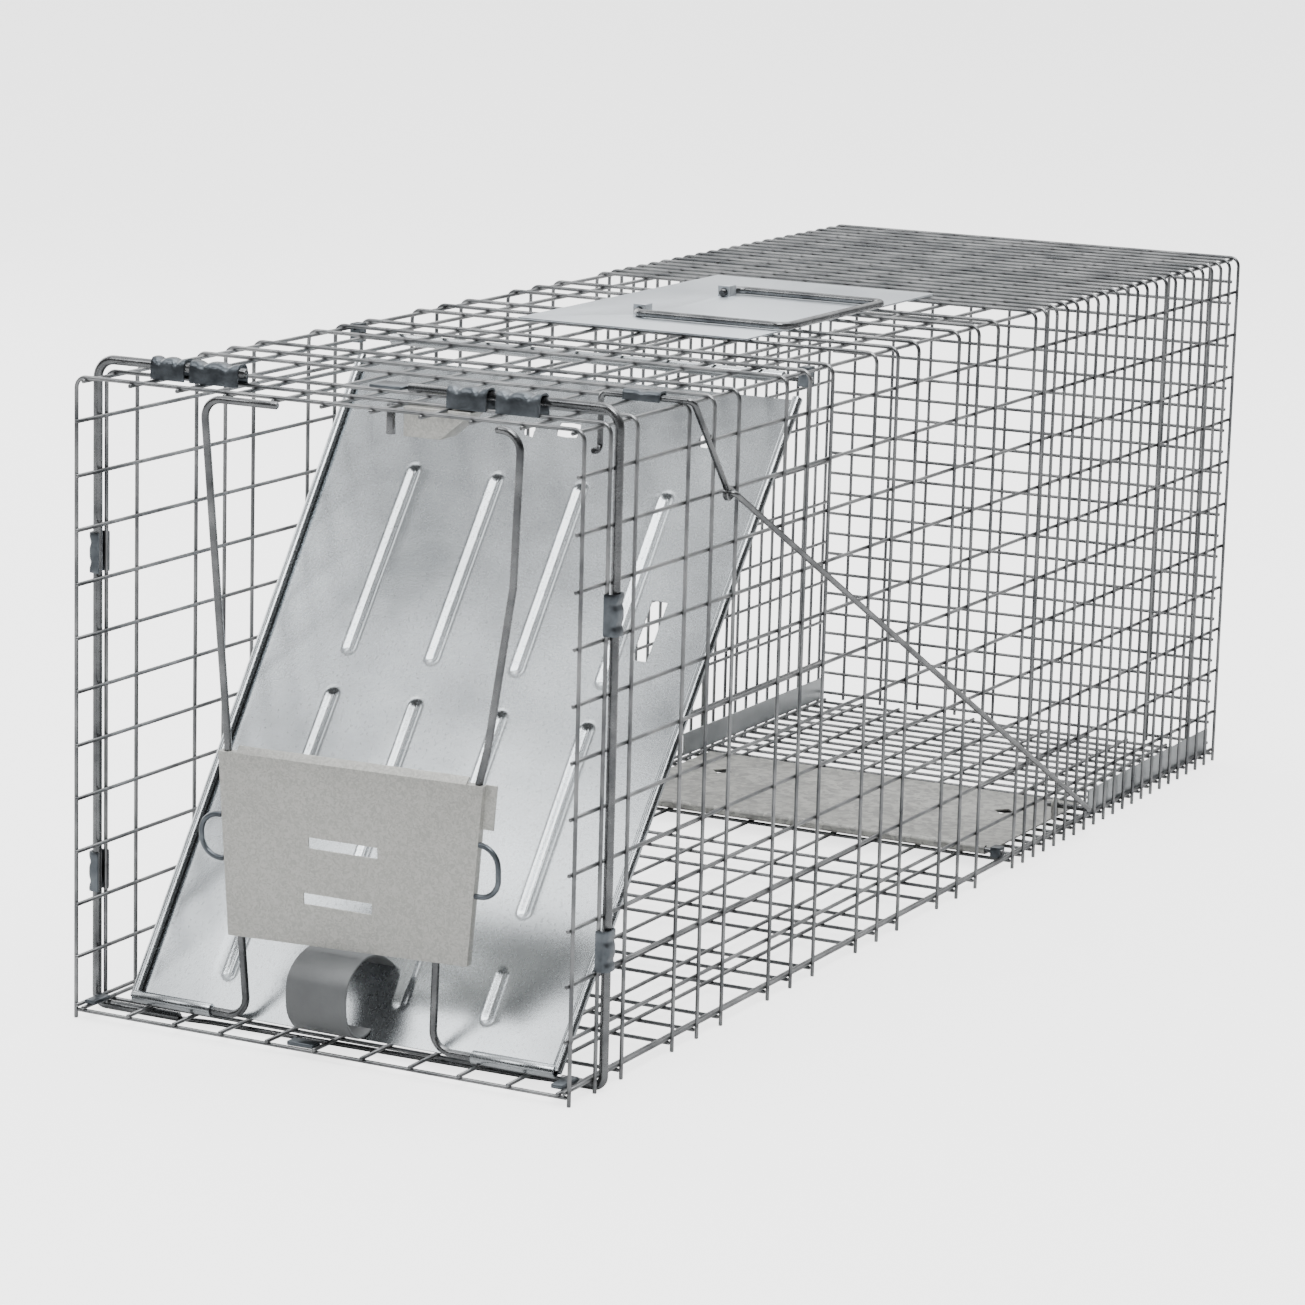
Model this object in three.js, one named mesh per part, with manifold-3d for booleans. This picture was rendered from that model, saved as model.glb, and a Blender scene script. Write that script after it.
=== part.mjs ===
// Live catch trap: a welded wire cage with one sloping front door that is hinged under the top, a gravity lock
// frame on the door, a floor treadle that works the trigger through a rod outside the wall, and a carry handle.
// Units are millimetres. X is the width, Y the length with the door end at -Y, Z up from the ground.
import * as THREE from "three";
import { mergeVertices } from "three/addons/utils/BufferGeometryUtils.js";
import Module from "manifold-3d";

const wasm = await Module();
wasm.setup();

// ---- driving dimensions -------------------------------------------------------------------------------------
const CAGE_WIDTH = 265.8;
const CAGE_LENGTH = 820;
const CAGE_HEIGHT = 305.5;
const GAP = 0.3;

const WIRE_R = 1;
const WELD_SINK = 0.4;
const HOOP_PITCH = 50.8;
const REAR_HOOP_PITCH = 44.6;
const REAR_START = 508;
const LONG_PITCH = 50.8;
const EDGE_INSET = 8;
const FIRST_ROW_DROP = 21.4;

const FRAME_ROD_R = 2.2;
const FRAME_ROD_BEND = 9;
const FRAME_ROD_LIFT = 4.1;
const LEFT_ROD_SETBACK = 21.2;
const RIGHT_ROD_SETBACK = 30;
const TIE_HOOP_SETBACK = 25.4;
const LEFT_ROD_TOP_END = -53;
const RIGHT_ROD_TOP_END = 27;
const LEFT_ROD_FOOT_END = -87;
const RIGHT_ROD_FOOT_END = 112;

const CLIP_T = 0.9;
const CLIP_BEVEL = 1.2;
const LEFT_TOP_CLIPS = [[-103, -85], [-82, -56]];
const RIGHT_TOP_CLIPS = [[50, 70], [75, 97]];
const WALL_CLIPS = [[210, 229], [57, 76]];
const ROD_TAB = { length: 17, near: 6, far: 8, thickness: 1.6 };
const SEAM_CLIP_T = 2.2;
const CORNER_CLIP_HALF = 3;
const LEFT_CORNER_CLIP = [2, 15];
const RIGHT_CORNER_CLIP = [2, 18];
const CENTRE_CLIP = { x: -8, half: 7, reach: [0, 7] };
const STOP_X = 29;
const STOP_SETBACK = 22;
const STOP_SIZE = [34, 14, 13.6];
const STOP_FLAT = 19;
const STOP_PIN_X = 21.2;
const STOP_PIN_R = 2.2;
const STOP_TIP = 1;

const DOOR_SETBACK = 16;
const LOCK_STANDOFF = 3.2;
const HINGE_SETBACK = 239;
const DOOR_CENTRE_X = 4;
const DOOR_FOOT_HALF = 113;
const DOOR_HEAD_HALF = 121;
const DOOR_HEAD_CHAMFER = 12;
const DOOR_T = 0.9;
const DOOR_EDGE_R = 2.4;
const HINGE_ROD_R = 1.6;
const HANGER = { wall: 1.4, top: 0.8, half: 3.5 };
const SHEET_ROLL_T = 1;
const ROLL_SINK = 0.8;
const HEM_TUBE = 43;
const BEAD_PITCH = 46.4;
const BEAD_WIDTH = 9;
const BEAD_DEPTH = 1.8;
const BEAD_ROWS = [[16, 47], [69, 173], [190, 297]];

const LOCK_ROD_R = 1.8;
const LOCK_BEND = 9;
const LOCK_LEFT_PATH = [[-100, 0], [-46.5, 0], [-59, 1], [-20, 1]];
const LOCK_RIGHT_PATH = [[106, 0], [53, 0], [56, 0.155], [84.5, 0.5], [98.8, 0.76], [104, 1], [91.5, 1]];
const LOCK_PLATE = [[-53.6, 40], [73.6, 44], [83.6, 130], [-55.6, 128.6]];
const LOCK_PLATE_T = 0.9;
const LOCK_PLATE_FLANGE = 4.2;
const LOCK_EAR = { reach: 5.4, from: 109 };
const LOCK_LIP = { from: -46, to: 75, rise: 3, back: 3 };
const LOCK_SLOTS = [[-8.5, 88.3], [-12, 61.2]];
const LOCK_SLOT_SIZE = [36.5, 5.4];
const LOCK_LOOP_WIRE_R = 1.2;
const LOCK_LOOP_BEND = 9;
const LEFT_LOOP = { inner: [-54.9, -55.3], outer: -66.5, low: 77, high: 98 };
const RIGHT_LOOP = { inner: [78.2, 81.1], outer: 90.4, low: 78, high: 102.5 };

const PULL_X = [-14, 18];
const PULL_T = 1.2;
const PULL_PROFILE = [
  [38.3, 0], [38.2, 4], [37, 12.7], [33.2, 21.9], [28, 27.9], [19.8, 32.6], [12, 33.4], [5.4, 30.1], [-1.2, 23.9],
  [-4.1, 16.2], [-3.6, 8.9], [0.5, 2.6], [4.5, 0],
];
const RIVET_R = 2.5;
const RIVET_S = 21;
const CATCH_SLOT_HALF = 4.5;
const CATCH_SLOT_REACH = [126, 158];

const PLATE_X = [-66, 64];
const PLATE_SETBACK = [298, 526];
const PLATE_T = 1;
const BAIL_R = 2;
const BAIL_SETBACK = [336, 456];
const BAIL_HINGE_X = -20;
const BAIL_REACH = 87;
const BAIL_PIN = 18;
const LUG_T = 1.2;
const LUG_WIDTH = 8;
const BAIL_BEND = 7;

const TRIGGER_R = 1.5;
const TRIGGER_CATCH_X = 88;
const TRIGGER_CATCH_DROP = 27;
const TRIGGER_CATCH_TIP = 6.5;
const TRIGGER_CATCH_RISE = 1;
const TRIGGER_ARM = [38.4, -47];
const TRIGGER_CLIP_X = [100, 119];
const TRIGGER_EYE_R = 3.6;
const TRIGGER_BEND = 3;
const ROD_R = 1.5;
const ROD_BEND = 2;
const ROD_STANDOFF = 3.6;
const ROD_PIN_REACH = 5;

const PAN_SETBACK = [503, 640];
const PAN_HALF = 118;
const PAN_T = 0.9;
const PAN_SHAFT_R = 1.5;
const BEARING_HALF = 3.7;
const PAN_HOLE = 9;
const PAN_HOLE_X = 89;
const PAN_HOLE_SETBACK = 598;
const PAN_LUG_SETBACK = 602.5;
const PAN_LUG_Z = 14.5;
const PAN_LUG_R = 4.4;
const PAN_LUG_CLEARANCE = 0.8;
const SEAM_STRIP_SETBACK = 625;
const SEAM_STRIP_HEIGHT = 13;

// ---- places that follow from the dimensions ------------------------------------------------------------------
const HALF_WIDTH = CAGE_WIDTH / 2;
const LAYER = 2 * WIRE_R - WELD_SINK;
const LOCK_REACH = 2 * LOCK_ROD_R + LOCK_STANDOFF;
const FRONT_Y = (LOCK_REACH - CAGE_LENGTH) / 2;
const REAR_Y = FRONT_Y + CAGE_LENGTH;
const HOOP_Z = CAGE_HEIGHT - WIRE_R;
const TOP_LONG_Z = HOOP_Z - LAYER;
const TOP_UNDER_Z = TOP_LONG_Z - WIRE_R;
const WALL_X = HALF_WIDTH - WIRE_R;
const WALL_ROW_X = WALL_X - LAYER;
const FLOOR_LONG_Z = 2 * FRAME_ROD_R + GAP + WIRE_R;
const FLOOR_CROSS_Z = FLOOR_LONG_Z - LAYER;
const FLOOR_UPPER_Z = FLOOR_LONG_Z + WIRE_R;
const EDGE_X = HALF_WIDTH - EDGE_INSET;
const ROD_PIN_INNER_X = PAN_HALF - ROD_PIN_REACH;
const WALL_SEAM_Z = FRAME_ROD_R + FRAME_ROD_BEND + GAP;

/** Y of a place that lies the given distance behind the front wires. */
const back = (setback) => FRONT_Y + setback;

// ---- finishes ------------------------------------------------------------------------------------------------
const finish = (color, roughness, metalness) => new THREE.MeshStandardMaterial({ color, roughness, metalness });
const zincWire = finish(0x8f9497, 0.42, 0.9);
const brightSheet = finish(0xb9c1c7, 0.3, 0.9);
const spangleSheet = finish(0xb4b3ab, 0.55, 0.7);
const dullSheet = finish(0x8d9498, 0.5, 0.8);
const clipSteel = finish(0x6f7b80, 0.45, 0.85);
const rodSteel = finish(0x85898b, 0.4, 0.9);

const trap = new THREE.Group();

/** Names a geometry, gives it a finish and hangs it in the trap. */
function place(name, geometry, material, position = new THREE.Vector3(), basis = null) {
  const mesh = new THREE.Mesh(geometry, material);
  mesh.name = name;
  mesh.position.copy(position);
  if (basis) mesh.quaternion.setFromRotationMatrix(basis);
  trap.add(mesh);
  return mesh;
}

// ---- solids --------------------------------------------------------------------------------------------------
const vec = (x, y, z) => new THREE.Vector3(x, y, z);

/** A closed geometry as a solid that can be joined and cut. */
function solid(geometry) {
  const bare = geometry.index ? geometry.toNonIndexed() : geometry.clone();
  bare.deleteAttribute("normal");
  bare.deleteAttribute("uv");
  const merged = mergeVertices(bare, 1e-4);
  return new wasm.Manifold(new wasm.Mesh({
    numProp: 3,
    vertProperties: merged.attributes.position.array,
    triVerts: new Uint32Array(merged.index.array),
  }));
}

/** A solid back as a geometry. */
function shell(body) {
  const mesh = body.getMesh();
  const geometry = new THREE.BufferGeometry();
  const points = new Float32Array(mesh.numVert * 3);
  for (let i = 0; i < mesh.numVert; i += 1) {
    points.set(mesh.vertProperties.subarray(i * mesh.numProp, i * mesh.numProp + 3), i * 3);
  }
  geometry.setAttribute("position", new THREE.BufferAttribute(points, 3));
  geometry.setIndex(new THREE.BufferAttribute(new Uint32Array(mesh.triVerts), 1));
  geometry.computeVertexNormals();
  return geometry;
}

const join = (bodies) => bodies.reduce((sum, body) => sum.add(body));

/** A block between two opposite corners. */
function block(low, high) {
  const size = high.clone().sub(low);
  const middle = low.clone().add(high).multiplyScalar(0.5);
  return new THREE.BoxGeometry(size.x, size.y, size.z).translate(middle.x, middle.y, middle.z);
}

/** A round bar from one point to another. */
function bar(from, to, radius, sides = 12) {
  const along = to.clone().sub(from);
  const middle = from.clone().add(to).multiplyScalar(0.5);
  const turn = new THREE.Quaternion().setFromUnitVectors(vec(0, 1, 0), along.clone().normalize());
  return new THREE.CylinderGeometry(radius, radius, along.length(), sides)
    .applyQuaternion(turn)
    .translate(middle.x, middle.y, middle.z);
}

/** A mesh wire with a square section set on its corner, so that crossing wires meet ridge to ridge. */
function meshWire(from, to) {
  const along = to.clone().sub(from);
  const middle = from.clone().add(to).multiplyScalar(0.5);
  const side = WIRE_R * Math.SQRT2;
  const turn = new THREE.Quaternion().setFromUnitVectors(vec(0, 0, 1), along.clone().normalize());
  return new THREE.BoxGeometry(side, side, along.length())
    .rotateZ(Math.PI / 4)
    .applyQuaternion(turn)
    .translate(middle.x, middle.y, middle.z);
}

/** The centre line of a bent wire: straight runs joined by round bends, with stations only where it turns. */
class BentLine extends THREE.Curve {
  constructor(corners, bend, steps = 4) {
    super();
    this.points = [corners[0]];
    this.tangents = [corners[1].clone().sub(corners[0]).normalize()];
    for (let i = 1; i < corners.length - 1; i += 1) {
      this.turn(corners[i - 1], corners[i], corners[i + 1], bend, steps);
    }
    this.points.push(corners.at(-1));
    this.tangents.push(corners.at(-1).clone().sub(corners.at(-2)).normalize());
  }

  turn(before, corner, after, bend, steps) {
    const into = corner.clone().sub(before).normalize();
    const out = after.clone().sub(corner).normalize();
    const angle = into.angleTo(out);
    const start = corner.clone().addScaledVector(into, -bend * Math.tan(angle / 2));
    const side = out.clone().addScaledVector(into, -Math.cos(angle)).normalize();
    for (let k = 0; k <= steps; k += 1) {
      const a = (angle * k) / steps;
      this.points.push(start.clone()
        .addScaledVector(into, bend * Math.sin(a))
        .addScaledVector(side, bend * (1 - Math.cos(a))));
      this.tangents.push(into.clone().multiplyScalar(Math.cos(a)).addScaledVector(side, Math.sin(a)));
    }
  }

  station(u) {
    return Math.round(u * (this.points.length - 1));
  }

  getPointAt(u, target = vec(0, 0, 0)) {
    return target.copy(this.points[this.station(u)]);
  }

  getTangentAt(u, target = vec(0, 0, 0)) {
    return target.copy(this.tangents[this.station(u)]);
  }
}

/** A round wire bent at each inner corner. */
function bentWire(corners, radius, bend, sides = 8) {
  const line = new BentLine(corners, bend);
  const section = new THREE.Shape();
  for (let k = 0; k < sides; k += 1) {
    const a = (2 * Math.PI * (k + 0.5)) / sides;
    if (k) section.lineTo(radius * Math.cos(a), radius * Math.sin(a));
    else section.moveTo(radius * Math.cos(a), radius * Math.sin(a));
  }
  const steps = line.points.length - 1;
  return new THREE.ExtrudeGeometry(section, { steps, extrudePath: line, bevelEnabled: false });
}

/** A closed outline of [x, y] points, extruded along Z from zero. */
function prism(outline, depth) {
  const shape = new THREE.Shape(outline.map(([x, y]) => new THREE.Vector2(x, y)));
  return new THREE.ExtrudeGeometry(shape, { depth, bevelEnabled: false });
}

// ---- wire mesh -----------------------------------------------------------------------------------------------
/** Places from one end to the other in even steps as close to the pitch as fits. */
function evenly(from, to, pitch) {
  const count = Math.max(1, Math.round(Math.abs(to - from) / pitch));
  return Array.from({ length: count + 1 }, (_, i) => from + ((to - from) * i) / count);
}

/** Y of every hoop: wide steps over the front part, a tie hoop by the frame rods, and close steps at the rear. */
function hoopPlaces(rearLimit) {
  const front = evenly(FRONT_Y, back(REAR_START), HOOP_PITCH);
  const rear = evenly(back(REAR_START), rearLimit, REAR_HOOP_PITCH).slice(1);
  return [FRONT_Y + WIRE_R, back(TIE_HOOP_SETBACK), ...front.slice(1), ...rear];
}

const hoops = hoopPlaces(REAR_Y - WIRE_R);
const longitudinals = evenly(-EDGE_X, EDGE_X, LONG_PITCH);
const wallRows = [
  ...evenly(CAGE_HEIGHT - FIRST_ROW_DROP, FLOOR_LONG_Z + LONG_PITCH / 2, LONG_PITCH),
  WALL_SEAM_Z,
];

function topMesh() {
  const across = hoops.map((y) => meshWire(vec(-HALF_WIDTH, y, HOOP_Z), vec(HALF_WIDTH, y, HOOP_Z)));
  const along = longitudinals.map((x) => meshWire(vec(x, FRONT_Y, TOP_LONG_Z), vec(x, REAR_Y, TOP_LONG_Z)));
  place("top_mesh", shell(join([...across, ...along].map(solid))), zincWire);
}

function floorMesh() {
  const reach = WALL_X - WIRE_R - GAP;
  const across = hoops.map((y) => meshWire(vec(-reach, y, FLOOR_CROSS_Z), vec(reach, y, FLOOR_CROSS_Z)));
  const along = longitudinals.map((x) => meshWire(vec(x, FRONT_Y, FLOOR_LONG_Z), vec(x, REAR_Y, FLOOR_LONG_Z)));
  place("floor_mesh", shell(join([...across, ...along].map(solid))), zincWire);
}

function wallMesh(name, side) {
  const top = HOOP_Z - WIRE_R - GAP;
  const upright = hoops.map((y) => meshWire(vec(side * WALL_X, y, 0), vec(side * WALL_X, y, top)));
  const along = wallRows.map((z) => meshWire(vec(side * WALL_ROW_X, FRONT_Y, z), vec(side * WALL_ROW_X, REAR_Y, z)));
  place(name, shell(join([...upright, ...along].map(solid))), zincWire);
}

function rearWall() {
  const reach = WALL_ROW_X - WIRE_R - GAP;
  const low = FLOOR_UPPER_Z + GAP;
  const high = TOP_UNDER_Z - GAP;
  const outerY = REAR_Y - WIRE_R;
  const columns = evenly(-reach + WIRE_R, reach - WIRE_R, LONG_PITCH);
  const rows = evenly(low + WIRE_R, high - WIRE_R, LONG_PITCH);
  const upright = columns.map((x) => meshWire(vec(x, outerY, low), vec(x, outerY, high)));
  const across = rows.map((z) => meshWire(vec(-reach, outerY - LAYER, z), vec(reach, outerY - LAYER, z)));
  place("rear_wall_mesh", shell(join([...upright, ...across].map(solid))), zincWire);
}

// ---- front frame ---------------------------------------------------------------------------------------------
const ROD_TOP_Z = TOP_LONG_Z + WIRE_R + GAP + FRAME_ROD_R + FRAME_ROD_LIFT;
const ROD_SIDE_X = WALL_ROW_X + WIRE_R + GAP + FRAME_ROD_R;

function frameRod(name, side, setback, topEnd, footEnd) {
  const y = back(setback);
  const corners = [
    vec(topEnd, y, ROD_TOP_Z),
    vec(side * ROD_SIDE_X, y, ROD_TOP_Z),
    vec(side * ROD_SIDE_X, y, FRAME_ROD_R),
    vec(footEnd, y, FRAME_ROD_R),
  ];
  place(name, bentWire(corners, FRAME_ROD_R, FRAME_ROD_BEND), rodSteel);
}

/** Arch that straddles a frame rod and the tie hoop; its feet stop just above the wires that it stands on. */
function saddleOutline(halfSpan, rise) {
  const bevel = CLIP_BEVEL;
  const inner = halfSpan;
  const outer = halfSpan + CLIP_T;
  return [
    [-outer, GAP], [-inner, GAP], [-inner, rise - bevel], [-inner + bevel, rise], [inner - bevel, rise],
    [inner, rise - bevel], [inner, GAP], [outer, GAP], [outer, rise - bevel + CLIP_T / 2],
    [inner - bevel / 2, rise + CLIP_T], [-inner + bevel / 2, rise + CLIP_T], [-outer, rise - bevel + CLIP_T / 2],
  ];
}

/** One crimped clip: outward is the mesh's outer side, and the clip runs along its rod from one place to another. */
function frameClip(name, setback, outward, run, from, to) {
  const towardHoop = TIE_HOOP_SETBACK - setback;
  const span = Math.abs(towardHoop) + FRAME_ROD_R + WIRE_R + 2 * GAP;
  const middle = back(setback + (towardHoop + Math.sign(towardHoop) * (WIRE_R - FRAME_ROD_R)) / 2);
  const across = outward.clone().cross(run);
  const basis = new THREE.Matrix4().makeBasis(across, outward, run);
  const face = outward.z ? TOP_LONG_Z + WIRE_R : WALL_ROW_X + WIRE_R;
  const position = outward.clone().multiplyScalar(face).addScaledVector(run, from).add(vec(0, middle, 0));
  const rise = 2 * FRAME_ROD_R + 2 * GAP + (outward.z ? FRAME_ROD_LIFT : 0);
  place(name, prism(saddleOutline(span / 2, rise), to - from), clipSteel, position, basis);
}

function frontFrame() {
  frameRod("frame_rod_left", -1, LEFT_ROD_SETBACK, LEFT_ROD_TOP_END, LEFT_ROD_FOOT_END);
  frameRod("frame_rod_right", 1, RIGHT_ROD_SETBACK, RIGHT_ROD_TOP_END, RIGHT_ROD_FOOT_END);
  const up = vec(0, 0, 1);
  const right = vec(1, 0, 0);
  const left = vec(-1, 0, 0);
  LEFT_TOP_CLIPS.forEach(([from, to], i) => {
    frameClip(`frame_clip_top_${i + 1}`, LEFT_ROD_SETBACK, up, right, from, to);
  });
  RIGHT_TOP_CLIPS.forEach(([from, to], i) => {
    frameClip(`frame_clip_top_${i + LEFT_TOP_CLIPS.length + 1}`, RIGHT_ROD_SETBACK, up, right, from, to);
  });
  WALL_CLIPS.forEach(([from, to], i) => {
    frameClip(`frame_clip_left_${i + 1}`, LEFT_ROD_SETBACK, left, up, from, to);
    frameClip(`frame_clip_right_${i + 1}`, RIGHT_ROD_SETBACK, right, up, from, to);
  });
}

/** Flattened tab that carries on the right rod's top leg at its end. */
function frameTab() {
  const { length, near, far, thickness } = ROD_TAB;
  const y = back(RIGHT_ROD_SETBACK);
  const end = RIGHT_ROD_TOP_END - GAP;
  const low = vec(end - length, y - near, ROD_TOP_Z - thickness / 2);
  const high = vec(end, y + far, ROD_TOP_Z + thickness / 2);
  place("frame_rod_tab", block(low, high), clipSteel);
}

/** Clips that wrap the floor mesh's edge wires at the front: one at each corner and one in the middle. */
function seamClips() {
  const onEdgeWire = FLOOR_UPPER_Z + GAP;
  const onFrontWire = FLOOR_CROSS_Z + WIRE_R + GAP;
  const clip = (name, x, halfX, low, [from, to]) => {
    const corners = [vec(x - halfX, back(from), low), vec(x + halfX, back(to), low + SEAM_CLIP_T)];
    place(name, block(...corners), clipSteel);
  };
  clip("seam_clip_left", -EDGE_X, CORNER_CLIP_HALF, onEdgeWire, LEFT_CORNER_CLIP);
  clip("seam_clip_centre", CENTRE_CLIP.x, CENTRE_CLIP.half, onFrontWire, CENTRE_CLIP.reach);
  clip("seam_clip_right", EDGE_X, CORNER_CLIP_HALF, onEdgeWire, RIGHT_CORNER_CLIP);
}

/** Wedge-shaped stop under the front of the top, and the pin beside it, both hung from the tie hoop. */
function topStop() {
  const ceiling = HOOP_Z - WIRE_R - GAP;
  const [length, depth, drop] = STOP_SIZE;
  const wedge = prism([[0, 0], [STOP_FLAT, 0], [length, drop - STOP_TIP], [length, drop], [0, drop]], depth);
  const basis = new THREE.Matrix4().makeBasis(vec(1, 0, 0), vec(0, 0, 1), vec(0, -1, 0));
  place("stop_bracket", wedge, spangleSheet, vec(STOP_X, back(STOP_SETBACK + depth), ceiling - drop), basis);
  const pinY = back(TIE_HOOP_SETBACK - WIRE_R);
  const pin = bar(vec(STOP_PIN_X, pinY, ceiling - drop), vec(STOP_PIN_X, pinY, ceiling), STOP_PIN_R);
  place("stop_pin", pin, rodSteel);
}

// ---- door ----------------------------------------------------------------------------------------------------
const ROLL_R = HINGE_ROD_R + GAP + SHEET_ROLL_T;
const HEM_R = LOCK_ROD_R + GAP + SHEET_ROLL_T;
const HINGE_Y = back(HINGE_SETBACK);
const HINGE_Z = TOP_UNDER_Z - GAP - ROLL_R;
const FOOT_Y = back(DOOR_SETBACK);
const FOOT_Z = FLOOR_UPPER_Z + GAP + HEM_R;
const HEM_OUT = DOOR_T / 2 + HEM_R - SHEET_ROLL_T * ROLL_SINK;
const DOOR_LENGTH = Math.sqrt((HINGE_Y - FOOT_Y) ** 2 + (HINGE_Z - FOOT_Z) ** 2 - HEM_OUT ** 2);
const DOOR_SLOPE = Math.atan2(HINGE_Z - FOOT_Z, HINGE_Y - FOOT_Y) + Math.atan2(HEM_OUT, DOOR_LENGTH);
const hemTubes = [
  { blind: -DOOR_FOOT_HALF, mouth: HEM_TUBE - DOOR_FOOT_HALF },
  { blind: DOOR_FOOT_HALF, mouth: DOOR_FOOT_HALF - HEM_TUBE },
];

/** The door's own frame: x across, y up the slope from the bottom hem, z out of the front face. */
const doorBasis = new THREE.Matrix4().makeBasis(
  vec(1, 0, 0),
  vec(0, Math.cos(DOOR_SLOPE), Math.sin(DOOR_SLOPE)),
  vec(0, -Math.sin(DOOR_SLOPE), Math.cos(DOOR_SLOPE)),
);
const doorOrigin = vec(DOOR_CENTRE_X, FOOT_Y, FOOT_Z).addScaledVector(
  vec(0, -Math.sin(DOOR_SLOPE), Math.cos(DOOR_SLOPE)),
  -HEM_OUT,
);

function doorPanel() {
  const face = DOOR_T / 2;
  const sheet = new THREE.Shape([
    new THREE.Vector2(-DOOR_FOOT_HALF, 0), new THREE.Vector2(DOOR_FOOT_HALF, 0),
    new THREE.Vector2(DOOR_HEAD_HALF, DOOR_LENGTH - DOOR_HEAD_CHAMFER),
    new THREE.Vector2(DOOR_HEAD_HALF - DOOR_HEAD_CHAMFER, DOOR_LENGTH),
    new THREE.Vector2(DOOR_HEAD_CHAMFER - DOOR_HEAD_HALF, DOOR_LENGTH),
    new THREE.Vector2(-DOOR_HEAD_HALF, DOOR_LENGTH - DOOR_HEAD_CHAMFER),
  ]);
  const plate = new THREE.ExtrudeGeometry(sheet, { depth: DOOR_T, bevelEnabled: false }).translate(0, 0, -face);
  const bodies = [solid(plate)];
  for (const side of [-1, 1]) {
    const low = vec(side * DOOR_FOOT_HALF, HEM_R, DOOR_EDGE_R - face);
    const high = vec(side * (DOOR_HEAD_HALF - 1), DOOR_LENGTH - DOOR_HEAD_CHAMFER - 4, DOOR_EDGE_R - face);
    bodies.push(solid(bar(low, high, DOOR_EDGE_R, 8)));
  }
  const barrelHalf = DOOR_HEAD_HALF - DOOR_HEAD_CHAMFER;
  bodies.push(solid(bar(vec(-barrelHalf, DOOR_LENGTH, 0), vec(barrelHalf, DOOR_LENGTH, 0), ROLL_R)));
  for (const { blind, mouth } of hemTubes) {
    bodies.push(solid(bar(vec(blind, 0, HEM_OUT), vec(mouth, 0, HEM_OUT), HEM_R)));
  }
  for (const column of [-1.5, -0.5, 0.5, 1.5]) {
    for (const [from, to] of BEAD_ROWS) bodies.push(beadRib(column * BEAD_PITCH, from, to));
  }
  let body = join(bodies);
  const barrelBore = bar(
    vec(-DOOR_HEAD_HALF, DOOR_LENGTH, 0),
    vec(DOOR_HEAD_HALF, DOOR_LENGTH, 0),
    HINGE_ROD_R + GAP,
  );
  body = body.subtract(solid(barrelBore));
  for (const { blind, mouth } of hemTubes) {
    const inward = Math.sign(mouth - blind);
    const bore = bar(vec(blind + 2 * inward, 0, HEM_OUT), vec(mouth + 2 * inward, 0, HEM_OUT), LOCK_ROD_R + GAP);
    body = body.subtract(solid(bore));
  }
  const [near, far] = CATCH_SLOT_REACH;
  const slotX = TRIGGER_CATCH_X - DOOR_CENTRE_X;
  const slot = block(
    vec(slotX - CATCH_SLOT_HALF, DOOR_LENGTH - far, -DOOR_T),
    vec(slotX + CATCH_SLOT_HALF, DOOR_LENGTH - near, DOOR_T),
  );
  body = body.subtract(solid(slot));
  place("door_panel", shell(body), brightSheet, doorOrigin, doorBasis);
}

/** Back of a pressed bead: a low boat-shaped rib behind the sheet. */
function beadRib(x, from, to) {
  const half = BEAD_WIDTH / 2;
  const depth = DOOR_T / 2 + BEAD_DEPTH;
  const outline = [[-half, 0], [-half / 2, depth], [half / 2, depth], [half, 0]];
  return solid(prism(outline, to - from).rotateX(-Math.PI / 2).translate(x, from, 0));
}

/** Hinge rod under the top, and the two hangers that carry it from the top's edge wires. */
function doorHinge() {
  const reach = WALL_ROW_X - WIRE_R - GAP;
  const rod = bar(vec(-reach, HINGE_Y, HINGE_Z), vec(reach, HINGE_Y, HINGE_Z), HINGE_ROD_R);
  place("door_hinge_rod", rod, rodSteel);
  const { wall, top, half } = HANGER;
  const halfX = WIRE_R + GAP + wall;
  const low = HINGE_Z - HINGE_ROD_R - GAP - wall;
  const high = TOP_LONG_Z + WIRE_R + GAP + top;
  for (const [name, x] of [["hinge_hanger_left", -EDGE_X], ["hinge_hanger_right", EDGE_X]]) {
    const strap = solid(block(vec(x - halfX, HINGE_Y - half, low), vec(x + halfX, HINGE_Y + half, high)));
    const rodHole = bar(
      vec(x - 2 * halfX, HINGE_Y, HINGE_Z),
      vec(x + 2 * halfX, HINGE_Y, HINGE_Z),
      HINGE_ROD_R + GAP,
    );
    const wireHole = bar(
      vec(x, HINGE_Y - 2 * half, TOP_LONG_Z),
      vec(x, HINGE_Y + 2 * half, TOP_LONG_Z),
      WIRE_R + GAP,
      8,
    );
    place(name, shell(strap.subtract(solid(rodHole)).subtract(solid(wireHole))), clipSteel);
  }
}

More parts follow.
